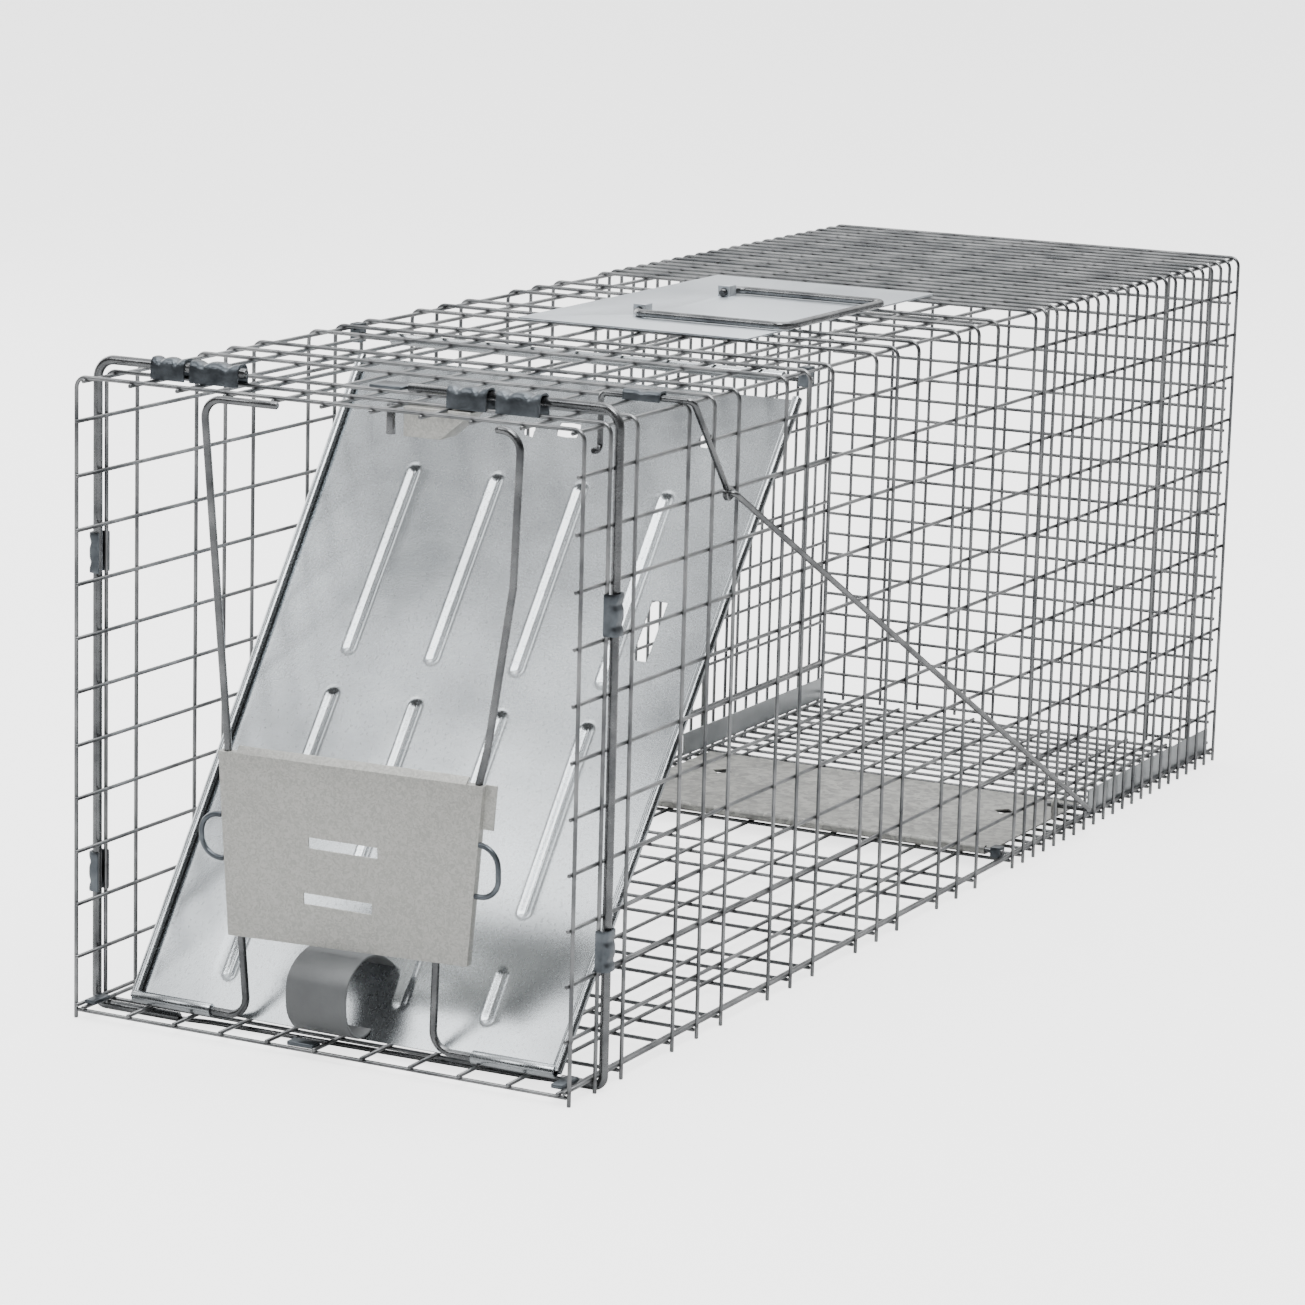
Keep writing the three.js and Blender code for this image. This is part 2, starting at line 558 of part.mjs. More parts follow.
/** Curled strip that a hand pulls the door up with, and the rivet tails behind the door that hold it. */
function doorPull() {
  const face = DOOR_T / 2 + GAP;
  const knots = PULL_PROFILE.map(([along, out]) => new THREE.Vector2(along, face + out));
  const line = new THREE.SplineCurve(knots).getPoints(2 * knots.length);
  const outline = new wasm.CrossSection([line.map((point) => [point.x, Math.max(point.y, face)])], "NonZero");
  const width = PULL_X[1] - PULL_X[0];
  const bore = outline.offset(-PULL_T, "Miter").extrude(width + 2).translate(0, 0, -1);
  const strip = outline.extrude(width).subtract(bore);
  const axes = new THREE.Matrix4().makeBasis(vec(0, 1, 0), vec(0, 0, 1), vec(1, 0, 0));
  const turned = shell(strip).applyMatrix4(axes).translate(PULL_X[0] - DOOR_CENTRE_X, 0, 0);
  place("door_pull", turned, dullSheet, doorOrigin, doorBasis);
  const behind = -DOOR_T / 2 - GAP;
  for (const [name, share] of [["pull_rivet_left", 0.25], ["pull_rivet_right", 0.75]]) {
    const x = PULL_X[0] + width * share - DOOR_CENTRE_X;
    const tail = bar(vec(x, RIVET_S, behind - PULL_T), vec(x, RIVET_S, behind), RIVET_R);
    place(name, tail, clipSteel, doorOrigin, doorBasis);
  }
}

// ---- lock frame ----------------------------------------------------------------------------------------------
const LOCK_LENGTH = TOP_UNDER_Z - GAP - LOCK_ROD_R - FOOT_Z;
const LOCK_LEAN = Math.asin((DOOR_SETBACK + LOCK_STANDOFF + LOCK_ROD_R) / LOCK_LENGTH);

/** The lock frame's own frame: x across, y up along its rods from their feet, z out in front. */
const lockBasis = new THREE.Matrix4().makeBasis(
  vec(1, 0, 0),
  vec(0, -Math.sin(LOCK_LEAN), Math.cos(LOCK_LEAN)),
  vec(0, -Math.cos(LOCK_LEAN), -Math.sin(LOCK_LEAN)),
);
const lockOrigin = vec(0, FOOT_Y, FOOT_Z);

/** A bent rod of the lock frame; the path's heights are shares of the frame's length. */
function lockRodWire(path, radius) {
  return bentWire(path.map(([x, share]) => vec(x, share * LOCK_LENGTH, 0)), radius, LOCK_BEND);
}

function lockRods() {
  place("lock_rod_left", lockRodWire(LOCK_LEFT_PATH, LOCK_ROD_R), rodSteel, lockOrigin, lockBasis);
  place("lock_rod_right", lockRodWire(LOCK_RIGHT_PATH, LOCK_ROD_R), rodSteel, lockOrigin, lockBasis);
}

/** Slanting lip along the plate's top edge, between the two rods. */
function plateLip(face, topLeft, topRight) {
  const { from, to, rise, back: depth } = LOCK_LIP;
  const t = LOCK_PLATE_T;
  const outline = [
    [-2 * t, face - t], [-2 * t, face], [0, face],
    [rise, face - depth], [rise - t, face - depth - t], [-t, face - t],
  ];
  const axes = new THREE.Matrix4().makeBasis(vec(0, 1, 0), vec(0, 0, 1), vec(1, 0, 0));
  const slant = (topRight[1] - topLeft[1]) / (topRight[0] - topLeft[0]);
  const middle = topLeft[1] + slant * ((from + to) / 2 - topLeft[0]);
  return solid(prism(outline, to - from).applyMatrix4(axes).translate(from, 0, 0)
    .translate(-(from + to) / 2, 0, 0).rotateZ(Math.atan(slant)).translate((from + to) / 2, middle, 0));
}

/** Ear that turns outward from the back of the plate's right flange, near the top. */
function plateEar(rear, right, topRight) {
  const { reach, from } = LOCK_EAR;
  const edge = (y) => right[0] + ((topRight[0] - right[0]) * (y - right[1])) / (topRight[1] - right[1]);
  const outline = [
    [edge(from) - LOCK_PLATE_T, from], [edge(from) + reach, from],
    [topRight[0] + reach, topRight[1]], [topRight[0] - LOCK_PLATE_T, topRight[1]],
  ];
  return solid(prism(outline, LOCK_PLATE_T).translate(0, 0, rear));
}

/** Slotted plate in front of the rods, its four edges folded back and notched where the rods pass. */
function lockPlate() {
  const front = LOCK_ROD_R + GAP;
  const face = front + LOCK_PLATE_T;
  const [left, right, topRight, topLeft] = LOCK_PLATE;
  const inset = LOCK_PLATE_T;
  const inner = [
    [left[0] + inset, left[1] + inset], [right[0] - inset, right[1] + inset],
    [topRight[0] - inset, topRight[1] - inset], [topLeft[0] + inset, topLeft[1] - inset],
  ];
  const tray = solid(prism(LOCK_PLATE, LOCK_PLATE_FLANGE).translate(0, 0, face - LOCK_PLATE_FLANGE));
  const hollow = solid(prism(inner, LOCK_PLATE_FLANGE).translate(0, 0, front - LOCK_PLATE_FLANGE));
  let body = tray.subtract(hollow)
    .add(plateLip(face, topLeft, topRight))
    .add(plateEar(face - LOCK_PLATE_FLANGE, right, topRight));
  for (const path of [LOCK_LEFT_PATH, LOCK_RIGHT_PATH]) {
    body = body.subtract(solid(lockRodWire(path, LOCK_ROD_R + GAP * 0.95)));
  }
  for (const [x, y] of LOCK_SLOTS) {
    const [width, height] = LOCK_SLOT_SIZE;
    body = body.subtract(solid(block(vec(x, y, 0), vec(x + width, y + height, face + 1))));
  }
  place("lock_plate", shell(body), spangleSheet, lockOrigin, lockBasis);
}

/** Wire loops that stand out from the plate's two sides. */
function lockLoops() {
  const z = LOCK_ROD_R + GAP + LOCK_PLATE_T / 2;
  for (const [name, loop] of [["lock_loop_left", LEFT_LOOP], ["lock_loop_right", RIGHT_LOOP]]) {
    const corners = [
      vec(loop.inner[0], loop.low, z), vec(loop.outer, loop.low, z),
      vec(loop.outer, loop.high, z), vec(loop.inner[1], loop.high, z),
    ];
    place(name, bentWire(corners, LOCK_LOOP_WIRE_R, LOCK_LOOP_BEND), clipSteel, lockOrigin, lockBasis);
  }
}

// ---- carry handle --------------------------------------------------------------------------------------------
const PLATE_Z = CAGE_HEIGHT + GAP;
const BAIL_Z = PLATE_Z + PLATE_T + GAP + BAIL_R;

function handlePlate() {
  const [near, far] = PLATE_SETBACK.map(back);
  const bodies = [solid(block(vec(PLATE_X[0], near, PLATE_Z), vec(PLATE_X[1], far, PLATE_Z + PLATE_T)))];
  const halfX = BAIL_R + GAP + LUG_T;
  const pins = [BAIL_SETBACK[0] + BAIL_BEND + GAP, BAIL_SETBACK[1] - BAIL_BEND - GAP - LUG_WIDTH];
  for (const setback of pins) {
    const low = vec(BAIL_HINGE_X - halfX, back(setback), PLATE_Z);
    const high = vec(BAIL_HINGE_X + halfX, back(setback + LUG_WIDTH), BAIL_Z + halfX);
    bodies.push(solid(block(low, high)));
  }
  const bore = bar(vec(BAIL_HINGE_X, near, BAIL_Z), vec(BAIL_HINGE_X, far, BAIL_Z), BAIL_R + GAP);
  place("handle_plate", shell(join(bodies).subtract(solid(bore))), brightSheet);
}

function carryHandle() {
  const [near, far] = BAIL_SETBACK.map(back);
  const grip = BAIL_HINGE_X + BAIL_REACH;
  const corners = [
    vec(BAIL_HINGE_X, near + BAIL_PIN, BAIL_Z), vec(BAIL_HINGE_X, near, BAIL_Z), vec(grip, near, BAIL_Z),
    vec(grip, far, BAIL_Z), vec(BAIL_HINGE_X, far, BAIL_Z), vec(BAIL_HINGE_X, far - BAIL_PIN, BAIL_Z),
  ];
  place("carry_handle", bentWire(corners, BAIL_R, BAIL_BEND), rodSteel);
}

// ---- trigger -------------------------------------------------------------------------------------------------
const SHAFT_Y = back(2 * HOOP_PITCH) - WIRE_R - GAP - TRIGGER_R;
const SHAFT_Z = TOP_LONG_Z + WIRE_R + GAP + TRIGGER_R;
const ARM_X = HALF_WIDTH + 2 * GAP + TRIGGER_R;
const ARM_Y = SHAFT_Y + TRIGGER_ARM[0];
const ARM_Z = SHAFT_Z + TRIGGER_ARM[1];
const ROD_X = ARM_X + ROD_STANDOFF;

/** One wire: catch, shaft over the top, and the arm outside the wall that ends in an eye. */
function trigger() {
  const low = SHAFT_Z - TRIGGER_CATCH_DROP;
  const corners = [
    vec(TRIGGER_CATCH_X, SHAFT_Y - TRIGGER_CATCH_TIP, low + TRIGGER_CATCH_RISE),
    vec(TRIGGER_CATCH_X, SHAFT_Y, low),
    vec(TRIGGER_CATCH_X, SHAFT_Y, SHAFT_Z),
    vec(ARM_X, SHAFT_Y, SHAFT_Z),
    vec(ARM_X, ARM_Y, ARM_Z),
  ];
  const eye = bar(vec(ARM_X - TRIGGER_R, ARM_Y, ARM_Z), vec(ARM_X + TRIGGER_R, ARM_Y, ARM_Z), TRIGGER_EYE_R);
  const holeReach = 3 * TRIGGER_R;
  const hole = bar(vec(ARM_X - holeReach, ARM_Y, ARM_Z), vec(ARM_X + holeReach, ARM_Y, ARM_Z), ROD_R + GAP);
  const body = solid(bentWire(corners, TRIGGER_R, TRIGGER_BEND)).add(solid(eye)).subtract(solid(hole));
  place("trigger_wire", shell(body), rodSteel);
}

/** Clip that holds the trigger's shaft against the hoop behind it. */
function triggerClip() {
  const near = SHAFT_Y - TRIGGER_R - GAP;
  const far = SHAFT_Y + TRIGGER_R + GAP + 2 * WIRE_R + GAP;
  const outline = saddleOutline((far - near) / 2, 2 * (TRIGGER_R + GAP));
  const basis = new THREE.Matrix4().makeBasis(vec(0, 1, 0), vec(0, 0, 1), vec(1, 0, 0));
  const [from, to] = TRIGGER_CLIP_X;
  const seat = vec(from, (near + far) / 2, TOP_LONG_Z + WIRE_R);
  place("trigger_clip", prism(outline, to - from), clipSteel, seat, basis);
}

/** Long rod outside the wall; both ends turn in, one through the arm's eye and one through the wall to the pan. */
function triggerRod() {
  const corners = [
    vec(ARM_X - TRIGGER_R, ARM_Y, ARM_Z), vec(ROD_X, ARM_Y, ARM_Z),
    vec(ROD_X, back(PAN_LUG_SETBACK), PAN_LUG_Z), vec(ROD_PIN_INNER_X, back(PAN_LUG_SETBACK), PAN_LUG_Z),
  ];
  place("trigger_rod", bentWire(corners, ROD_R, ROD_BEND), rodSteel);
}

// ---- pan -----------------------------------------------------------------------------------------------------
const PAN_LOW_Z = FLOOR_UPPER_Z + GAP;
const PAN_ROLL_R = PAN_SHAFT_R + GAP + PAN_T;
const PAN_SHAFT_Z = PAN_LOW_Z + PAN_ROLL_R;
const PAN_SHAFT_Y = back(PAN_SETBACK[0]);

/** Flat pan with its front edge rolled round the shaft and a pierced lug standing at its right edge. */
function pan() {
  const far = back(PAN_SETBACK[1]);
  const lugY = back(PAN_LUG_SETBACK);
  const sheet = block(vec(-PAN_HALF, PAN_SHAFT_Y, PAN_LOW_Z), vec(PAN_HALF, far, PAN_LOW_Z + PAN_T));
  const roll = bar(vec(-PAN_HALF, PAN_SHAFT_Y, PAN_SHAFT_Z), vec(PAN_HALF, PAN_SHAFT_Y, PAN_SHAFT_Z), PAN_ROLL_R);
  const inner = PAN_HALF - PAN_T;
  const lugFoot = block(vec(inner, lugY - PAN_LUG_R, PAN_LOW_Z), vec(PAN_HALF, lugY + PAN_LUG_R, PAN_LUG_Z));
  const lugHead = bar(vec(inner, lugY, PAN_LUG_Z), vec(PAN_HALF, lugY, PAN_LUG_Z), PAN_LUG_R);
  const clear = PAN_HALF + PAN_HOLE;
  const bore = bar(vec(-clear, PAN_SHAFT_Y, PAN_SHAFT_Z), vec(clear, PAN_SHAFT_Y, PAN_SHAFT_Z), PAN_SHAFT_R + GAP);
  const eye = bar(vec(0, lugY, PAN_LUG_Z), vec(clear, lugY, PAN_LUG_Z), ROD_R + PAN_LUG_CLEARANCE);
  let body = join([sheet, roll, lugFoot, lugHead].map(solid)).subtract(solid(bore)).subtract(solid(eye));
  for (const side of [-1, 1]) {
    const hole = new THREE.BoxGeometry(PAN_HOLE, PAN_HOLE, PAN_HOLE).rotateZ(Math.PI / 4)
      .translate(side * PAN_HOLE_X, back(PAN_HOLE_SETBACK), PAN_LOW_Z);
    body = body.subtract(solid(hole));
  }
  place("treadle_pan", shell(body), spangleSheet);
}

function panShaft() {
  const reach = WALL_ROW_X - WIRE_R - GAP;
  const shaft = bar(vec(-reach, PAN_SHAFT_Y, PAN_SHAFT_Z), vec(reach, PAN_SHAFT_Y, PAN_SHAFT_Z), PAN_SHAFT_R);
  place("pan_shaft", shaft, rodSteel);
  const ends = [vec(-HALF_WIDTH, PAN_SHAFT_Y, PAN_SHAFT_Z), vec(HALF_WIDTH, PAN_SHAFT_Y, PAN_SHAFT_Z)];
  const hole = solid(bar(...ends, PAN_SHAFT_R + GAP));
  for (const [name, x] of [["pan_bearing_left", -EDGE_X], ["pan_bearing_right", EDGE_X]]) {
    const low = vec(x - PAN_ROLL_R, PAN_SHAFT_Y - BEARING_HALF, PAN_LOW_Z);
    const high = vec(x + PAN_ROLL_R, PAN_SHAFT_Y + BEARING_HALF, PAN_SHAFT_Z + PAN_ROLL_R);
    place(name, shell(solid(block(low, high)).subtract(hole)), clipSteel);
  }
}

/** Sheet strips inside the rear part of the bottom seams. */
function seamStrips() {
  const outer = WALL_ROW_X - WIRE_R - GAP;
  const from = back(SEAM_STRIP_SETBACK);
  const to = REAR_Y - 2 * WIRE_R - LAYER - GAP;
  for (const [name, side] of [["seam_strip_left", -1], ["seam_strip_right", 1]]) {
    const edges = [side * (outer - PLATE_T), side * outer].sort((a, b) => a - b);
    const strip = block(vec(edges[0], from, PAN_LOW_Z), vec(edges[1], to, PAN_LOW_Z + SEAM_STRIP_HEIGHT));
    place(name, strip, dullSheet);
  }
}

topMesh();
floorMesh();
wallMesh("left_wall_mesh", -1);
wallMesh("right_wall_mesh", 1);
rearWall();
frontFrame();
frameTab();
seamClips();
topStop();
doorPanel();
doorHinge();
doorPull();
lockRods();
lockPlate();
lockLoops();
handlePlate();
carryHandle();
trigger();
triggerClip();
triggerRod();
pan();
panShaft();
seamStrips();

// The rod stands out further on the right than the clips do on the left; the trap is centred between the two.
const clipReach = WALL_ROW_X + WIRE_R + 2 * FRAME_ROD_R + 2 * GAP + CLIP_T;
trap.position.x = (clipReach - ROD_X - ROD_R) / 2;

export default trap;
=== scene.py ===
"""Looks of a live catch trap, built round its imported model.

Sizes are in millimetres in the trap's own layout: X across, D back from the front wires, Z up from the ground.
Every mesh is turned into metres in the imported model's frame when it is made.
"""
import logging
import math
from dataclasses import dataclass, field
from enum import Enum

import bmesh
import bpy
import numpy as np
from mathutils import Matrix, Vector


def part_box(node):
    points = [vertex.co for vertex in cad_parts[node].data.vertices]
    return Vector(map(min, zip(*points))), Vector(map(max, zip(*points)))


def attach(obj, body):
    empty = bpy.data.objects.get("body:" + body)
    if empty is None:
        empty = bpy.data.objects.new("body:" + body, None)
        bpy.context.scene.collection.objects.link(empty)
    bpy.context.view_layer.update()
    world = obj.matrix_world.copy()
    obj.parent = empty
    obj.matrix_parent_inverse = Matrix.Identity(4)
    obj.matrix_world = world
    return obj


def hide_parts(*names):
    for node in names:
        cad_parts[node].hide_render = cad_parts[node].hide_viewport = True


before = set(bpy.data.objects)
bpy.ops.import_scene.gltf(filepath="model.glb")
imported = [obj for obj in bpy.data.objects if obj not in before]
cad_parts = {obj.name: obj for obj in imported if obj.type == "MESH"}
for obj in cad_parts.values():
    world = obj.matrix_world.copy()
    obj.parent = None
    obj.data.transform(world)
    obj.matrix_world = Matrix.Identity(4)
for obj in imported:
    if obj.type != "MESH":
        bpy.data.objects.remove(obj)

log = logging.getLogger("trap")
Pair = tuple[float, float]
Triple = tuple[float, float, float]
Tree = bpy.types.NodeTree
Socket = bpy.types.NodeSocket
MM = 0.001
WIRE_RADIUS = 1.0
WIRE_SIDES = 8
ROD_SIDES = 20
LAYER = 1.6
CAGE_WIDTH = 265.8
CAGE_LENGTH = 820.0
CAGE_HEIGHT = 305.5
FRONT_Y = -406.6
INCH = 25.4
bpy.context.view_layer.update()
CENTRE_X = sum(corner[0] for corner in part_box("top_mesh")) / 2 / MM


class Body(Enum):
    """The moving bodies that a piece can ride on."""

    CAGE = "cage"
    DOOR = "door"
    LOCK = "lock_frame"
    HANDLE = "handle"
    TRIGGER = "trigger"
    ROD = "rod"
    PAN = "pan"


# ---- shapes ------------------------------------------------------------------


@dataclass
class Shape:
    """Points and faces of one closed surface or several, with a weld mask for each point."""

    points: np.ndarray
    quads: np.ndarray
    tris: np.ndarray = field(default_factory=lambda: np.zeros((0, 3), int))
    weld: np.ndarray | None = None

    def mask(self) -> np.ndarray:
        """Returns the weld mask, zero where the shape has none."""
        return np.zeros(len(self.points)) if self.weld is None else self.weld


def join(shapes: list[Shape]) -> Shape:
    """Puts shapes in one.

    Args:
        shapes: the shapes, which don't share points.

    Returns:
        One shape with every point and face.
    """
    starts = np.cumsum([0] + [len(s.points) for s in shapes[:-1]])
    return Shape(
        np.concatenate([s.points for s in shapes]),
        np.concatenate([s.quads + k for s, k in zip(shapes, starts)]),
        np.concatenate([s.tris + k for s, k in zip(shapes, starts)]),
        np.concatenate([s.mask() for s in shapes]),
    )


def unit(v: np.ndarray) -> np.ndarray:
    """Returns vectors scaled to length one along the last axis."""
    return v / np.linalg.norm(v, axis=-1, keepdims=True)


def across(tangents: np.ndarray) -> tuple[np.ndarray, np.ndarray]:
    """Finds two directions square to each tangent.

    Args:
        tangents: unit vectors, shape (..., 3).

    Returns:
        u = t x r and v = t x u, with r the tried direction that lies furthest from every tangent.
    """
    tries = unit(np.array([[1, 0, 0], [0, 1, 0], [0, 0, 1], [0.31, 0.52, 0.79], [0.62, -0.33, 0.71]]))
    flat = tangents.reshape(-1, 3)
    ref = tries[np.argmin(np.abs(flat @ tries.T).max(axis=0))]
    u = unit(np.cross(tangents, ref))
    return u, np.cross(tangents, u)


def ring_quads(rings: int, sides: int, wrap: bool = False) -> np.ndarray:
    """Faces between neighbouring rings of points.

    Args:
        rings: number of rings.
        sides: points on each ring.
        wrap: whether the last ring joins the first.

    Returns:
        Quads (i, a), (i, a+1), (i+1, a+1), (i+1, a).
    """
    i = np.arange(rings if wrap else rings - 1)[:, None]
    a = np.arange(sides)[None, :]
    j, b = (i + 1) % rings, (a + 1) % sides
    return np.stack([i * sides + a, i * sides + b, j * sides + b, j * sides + a], -1).reshape(-1, 4)


def spread(x: np.ndarray, y: np.ndarray, z: np.ndarray | float) -> np.ndarray:
    """Returns points from coordinates that broadcast together."""
    return np.stack(np.broadcast_arrays(x, y, z), -1)


def pin(half: float, place: Pair) -> np.ndarray:
    """Returns the centre line of a straight pin across the trap, at a given D and Z."""
    return np.array([[[x, *place] for x in (-half, 0, half)]])


def tubes(paths: np.ndarray, radius: float, sides: int = 10, weld: np.ndarray | None = None) -> Shape:
    """Round wires along equal-length paths, with softened ends.

    Each ring is p + r (u cos a + v sin a) about its station p; the end rings shrink to 3/4 of the radius.

    Args:
        paths: centre lines, shape (wires, stations, 3).
        radius: the wire's radius.
        sides: points round the wire.
        weld: mask at each station, shape (stations,).

    Returns:
        The wires as one shape.
    """
    wires, stations = paths.shape[:2]
    tangents = unit(np.gradient(paths, axis=1))
    tangents[:, 0] = unit(paths[:, 1] - paths[:, 0])
    tangents[:, -1] = unit(paths[:, -1] - paths[:, -2])
    soft = 0.3 * radius
    centres = np.concatenate([paths[:, :1], paths, paths[:, -1:]], 1)
    centres[:, 1] += soft * tangents[:, 0]
    centres[:, -2] -= soft * tangents[:, -1]
    tangents = np.concatenate([tangents[:, :1], tangents, tangents[:, -1:]], 1)
    u, v = across(tangents)
    radii = np.full(stations + 2, radius)
    radii[[0, -1]] *= 0.75
    a = 2 * np.pi * np.arange(sides) / sides
    ring = u[:, :, None] * np.cos(a)[:, None] + v[:, :, None] * np.sin(a)[:, None]
    rings = centres[:, :, None] + ring * radii[None, :, None, None]
    count = (stations + 2) * sides
    points = np.concatenate([rings.reshape(wires, count, 3), paths[:, [0, -1]]], 1)
    b = (np.arange(sides) + 1) % sides
    k = np.arange(sides)
    last = count - sides
    tris = np.concatenate([
        np.stack([np.full(sides, count), b, k], -1),
        np.stack([np.full(sides, count + 1), last + k, last + b], -1),
    ])
    offset = (np.arange(wires) * (count + 2))[:, None, None]
    mask = np.zeros(stations) if weld is None else weld
    mask = np.repeat(np.concatenate([mask[:1], mask, mask[-1:]]), sides)
    mask = np.tile(np.concatenate([mask, [0, 0]]), wires)
    return Shape(
        points.reshape(-1, 3),
        (ring_quads(stations + 2, sides)[None] + offset).reshape(-1, 4),
        (tris[None] + offset).reshape(-1, 3),
        mask,
    )


def bent(corners: list[Triple], bends: float | tuple[float, ...], steps: int = 8) -> np.ndarray:
    """Centre line of a bent wire: straight runs joined by round bends.

    A bend of angle w and radius b is p = start + into b sin t + side b (1 - cos t), with t from 0 to w.

    Args:
        corners: the two ends and the corners between them.
        bends: one bend radius, or one for each inner corner.
        steps: stations on each bend.

    Returns:
        Stations, shape (1, stations, 3).
    """
    c = np.array(corners, float)
    radii = np.broadcast_to(np.asarray(bends, float), (len(c) - 2,))
    parts = [c[:1]]
    for before, corner, after, bend in zip(c[:-2], c[1:-1], c[2:], radii):
        into, out = unit(corner - before), unit(after - corner)
        angle = math.acos(float(np.clip(into @ out, -1, 1)))
        side = unit(out - into * math.cos(angle))
        start = corner - into * bend * math.tan(angle / 2)
        t = np.linspace(0, angle, steps + 1)[:, None]
        parts.append(start + into * bend * np.sin(t) + side * bend * (1 - np.cos(t)))
    parts.append(c[-1:])
    return np.concatenate(parts)[None]


def sleeve(start: Triple, end: Triple, outer: float, inner: float,
           sides: int = 24) -> Shape:
    """A short hollow tube: four rings, outside and inside at both ends, joined in a closed loop.

    Args:
        start: centre of one end.
        end: centre of the other end.
        outer: outer radius.
        inner: bore radius.
        sides: points round it.

    Returns:
        The closed shape.
    """
    p, q = np.array(start, float), np.array(end, float)
    t = unit(q - p)[None]
    u, v = across(t)
    a = 2 * np.pi * np.arange(sides) / sides
    ring = u * np.cos(a)[:, None] + v * np.sin(a)[:, None]
    edge = 0.25 * (outer - inner)
    stations = [(p, outer - edge), (p + edge * t[0], outer), (q - edge * t[0], outer), (q, outer - edge),
                (q, inner), (p, inner)]
    points = np.concatenate([c + ring * r for c, r in stations])
    return Shape(points, ring_quads(len(stations), sides, wrap=True))


def slab(profile: np.ndarray, inner: np.ndarray, low: float, high: float) -> Shape:
    """A strip bent to a profile and run straight across, as two skins with their rims.

    Each skin is (x, profile); the rims join the skins along both long edges and both ends.

    Args:
        profile: outer line, shape (n, 2).
        inner: inner line, point for point behind the outer one.
        low: where the strip starts across.
        high: where it ends across.

    Returns:
        The closed shape in (across, first, second) order.
    """
    loop = np.concatenate([profile, inner[::-1]])
    n = len(loop)
    soft = 0.25
    middle = (profile + inner) / 2
    thin = np.concatenate([middle + (profile - middle) * 0.6, (middle + (inner - middle) * 0.6)[::-1]])
    xs = [low, low + soft, high - soft, high]
    rings = [thin, loop, loop, thin]
    points = np.concatenate([np.column_stack([np.full(n, x), ring]) for x, ring in zip(xs, rings)])
    quads = ring_quads(4, n)
    k = np.arange(len(profile) - 1)
    mirror = n - 1 - k
    cap = np.stack([k, k + 1, mirror - 1, mirror], -1)
    return Shape(points, np.concatenate([quads[:, ::-1], cap, cap[:, ::-1] + 3 * n]))


# ---- finishes ----------------------------------------------------------------


GRAIN_SCALE = 900.0
SCRATCH_SCALE = 700.0
SCRATCH_STRETCH = (1.0, 0.06, 0.9)
SCRATCH_TURN = (0.3, 0.2, 0.5)
SCRATCH_BAND = (0.56, 0.7)
SCRATCH_SHARE = 0.35
CLOUD_BAND = (0.3, 0.7)
CELLS_PER_CLOUD = 3
CELL_SHARE = 0.6
CELL_BEND_SCALE = 240.0
CELL_BEND = (0.006, 0.006, 0.006)
BUMP_DISTANCE = 0.0004
# Painted shade: the dark colour that the wires take at their welds, where they cross.
PAINTED_WELD_SHADE = (0.11, 0.11, 0.115, 1)


class Pattern(Enum):
    """How a finish varies over the surface."""

    MOTTLE = "mottle"
    SPANGLE = "spangle"


def node_group(name: str, inputs: dict[str, float], outputs: list[str]) -> Tree:
    """Starts a shader group with named number sockets.

    Args:
        name: the group's name.
        inputs: input names and their first values.
        outputs: output names.

    Returns:
        The group, with its Group Input and Group Output nodes made.
    """
    group = bpy.data.node_groups.new(name, "ShaderNodeTree")
    for key, value in inputs.items():
        socket = group.interface.new_socket(key, in_out="INPUT", socket_type="NodeSocketFloat")
        socket.default_value = value
    for key in outputs:
        group.interface.new_socket(key, in_out="OUTPUT", socket_type="NodeSocketFloat")
    group.nodes.new("NodeGroupInput").name = "in"
    group.nodes.new("NodeGroupOutput").name = "out"
    return group


def noise(tree: Tree, place: Socket, detail: float,
          scale: float = 5.0) -> bpy.types.Node:
    """Returns a noise texture that reads the given place."""
    node = tree.nodes.new("ShaderNodeTexNoise")
    node.inputs["Detail"].default_value = detail
    node.inputs["Scale"].default_value = scale
    tree.links.new(place, node.inputs["Vector"])
    return node


def remap(tree: Tree, value: Socket, source: Pair = (0.0, 1.0),
          target: Pair = (0.0, 1.0), curve: str = "LINEAR") -> Socket:
    """Returns the value carried from one range to another and held inside it."""
    node = tree.nodes.new("ShaderNodeMapRange")
    node.interpolation_type = curve
    for key, number in zip(("From Min", "From Max", "To Min", "To Max"), (*source, *target)):
        node.inputs[key].default_value = number
    tree.links.new(value, node.inputs["Value"])
    return node.outputs["Result"]


def mottle_group() -> Tree:
    """Cloudy zinc: broad clouds, fine grain and thin scratches, each as a mask from 0 to 1."""
    g = node_group("zinc_mottle", {"Scale": 60.0}, ["Cloud", "Grain", "Scratch"])
    given, out = g.nodes["in"], g.nodes["out"]
    place = g.nodes.new("ShaderNodeTexCoord").outputs["Object"]
    cloud = noise(g, place, 4.0)
    g.links.new(given.outputs["Scale"], cloud.inputs["Scale"])
    grain = noise(g, place, 2.0, GRAIN_SCALE)
    stretch = g.nodes.new("ShaderNodeMapping")
    stretch.inputs["Scale"].default_value = SCRATCH_STRETCH
    stretch.inputs["Rotation"].default_value = SCRATCH_TURN
    g.links.new(place, stretch.inputs["Vector"])
    streak = noise(g, stretch.outputs["Vector"], 3.0, SCRATCH_SCALE)
    g.links.new(cloud.outputs["Fac"], out.inputs["Cloud"])
    g.links.new(grain.outputs["Fac"], out.inputs["Grain"])
    g.links.new(remap(g, streak.outputs["Fac"], SCRATCH_BAND), out.inputs["Scratch"])
    return g


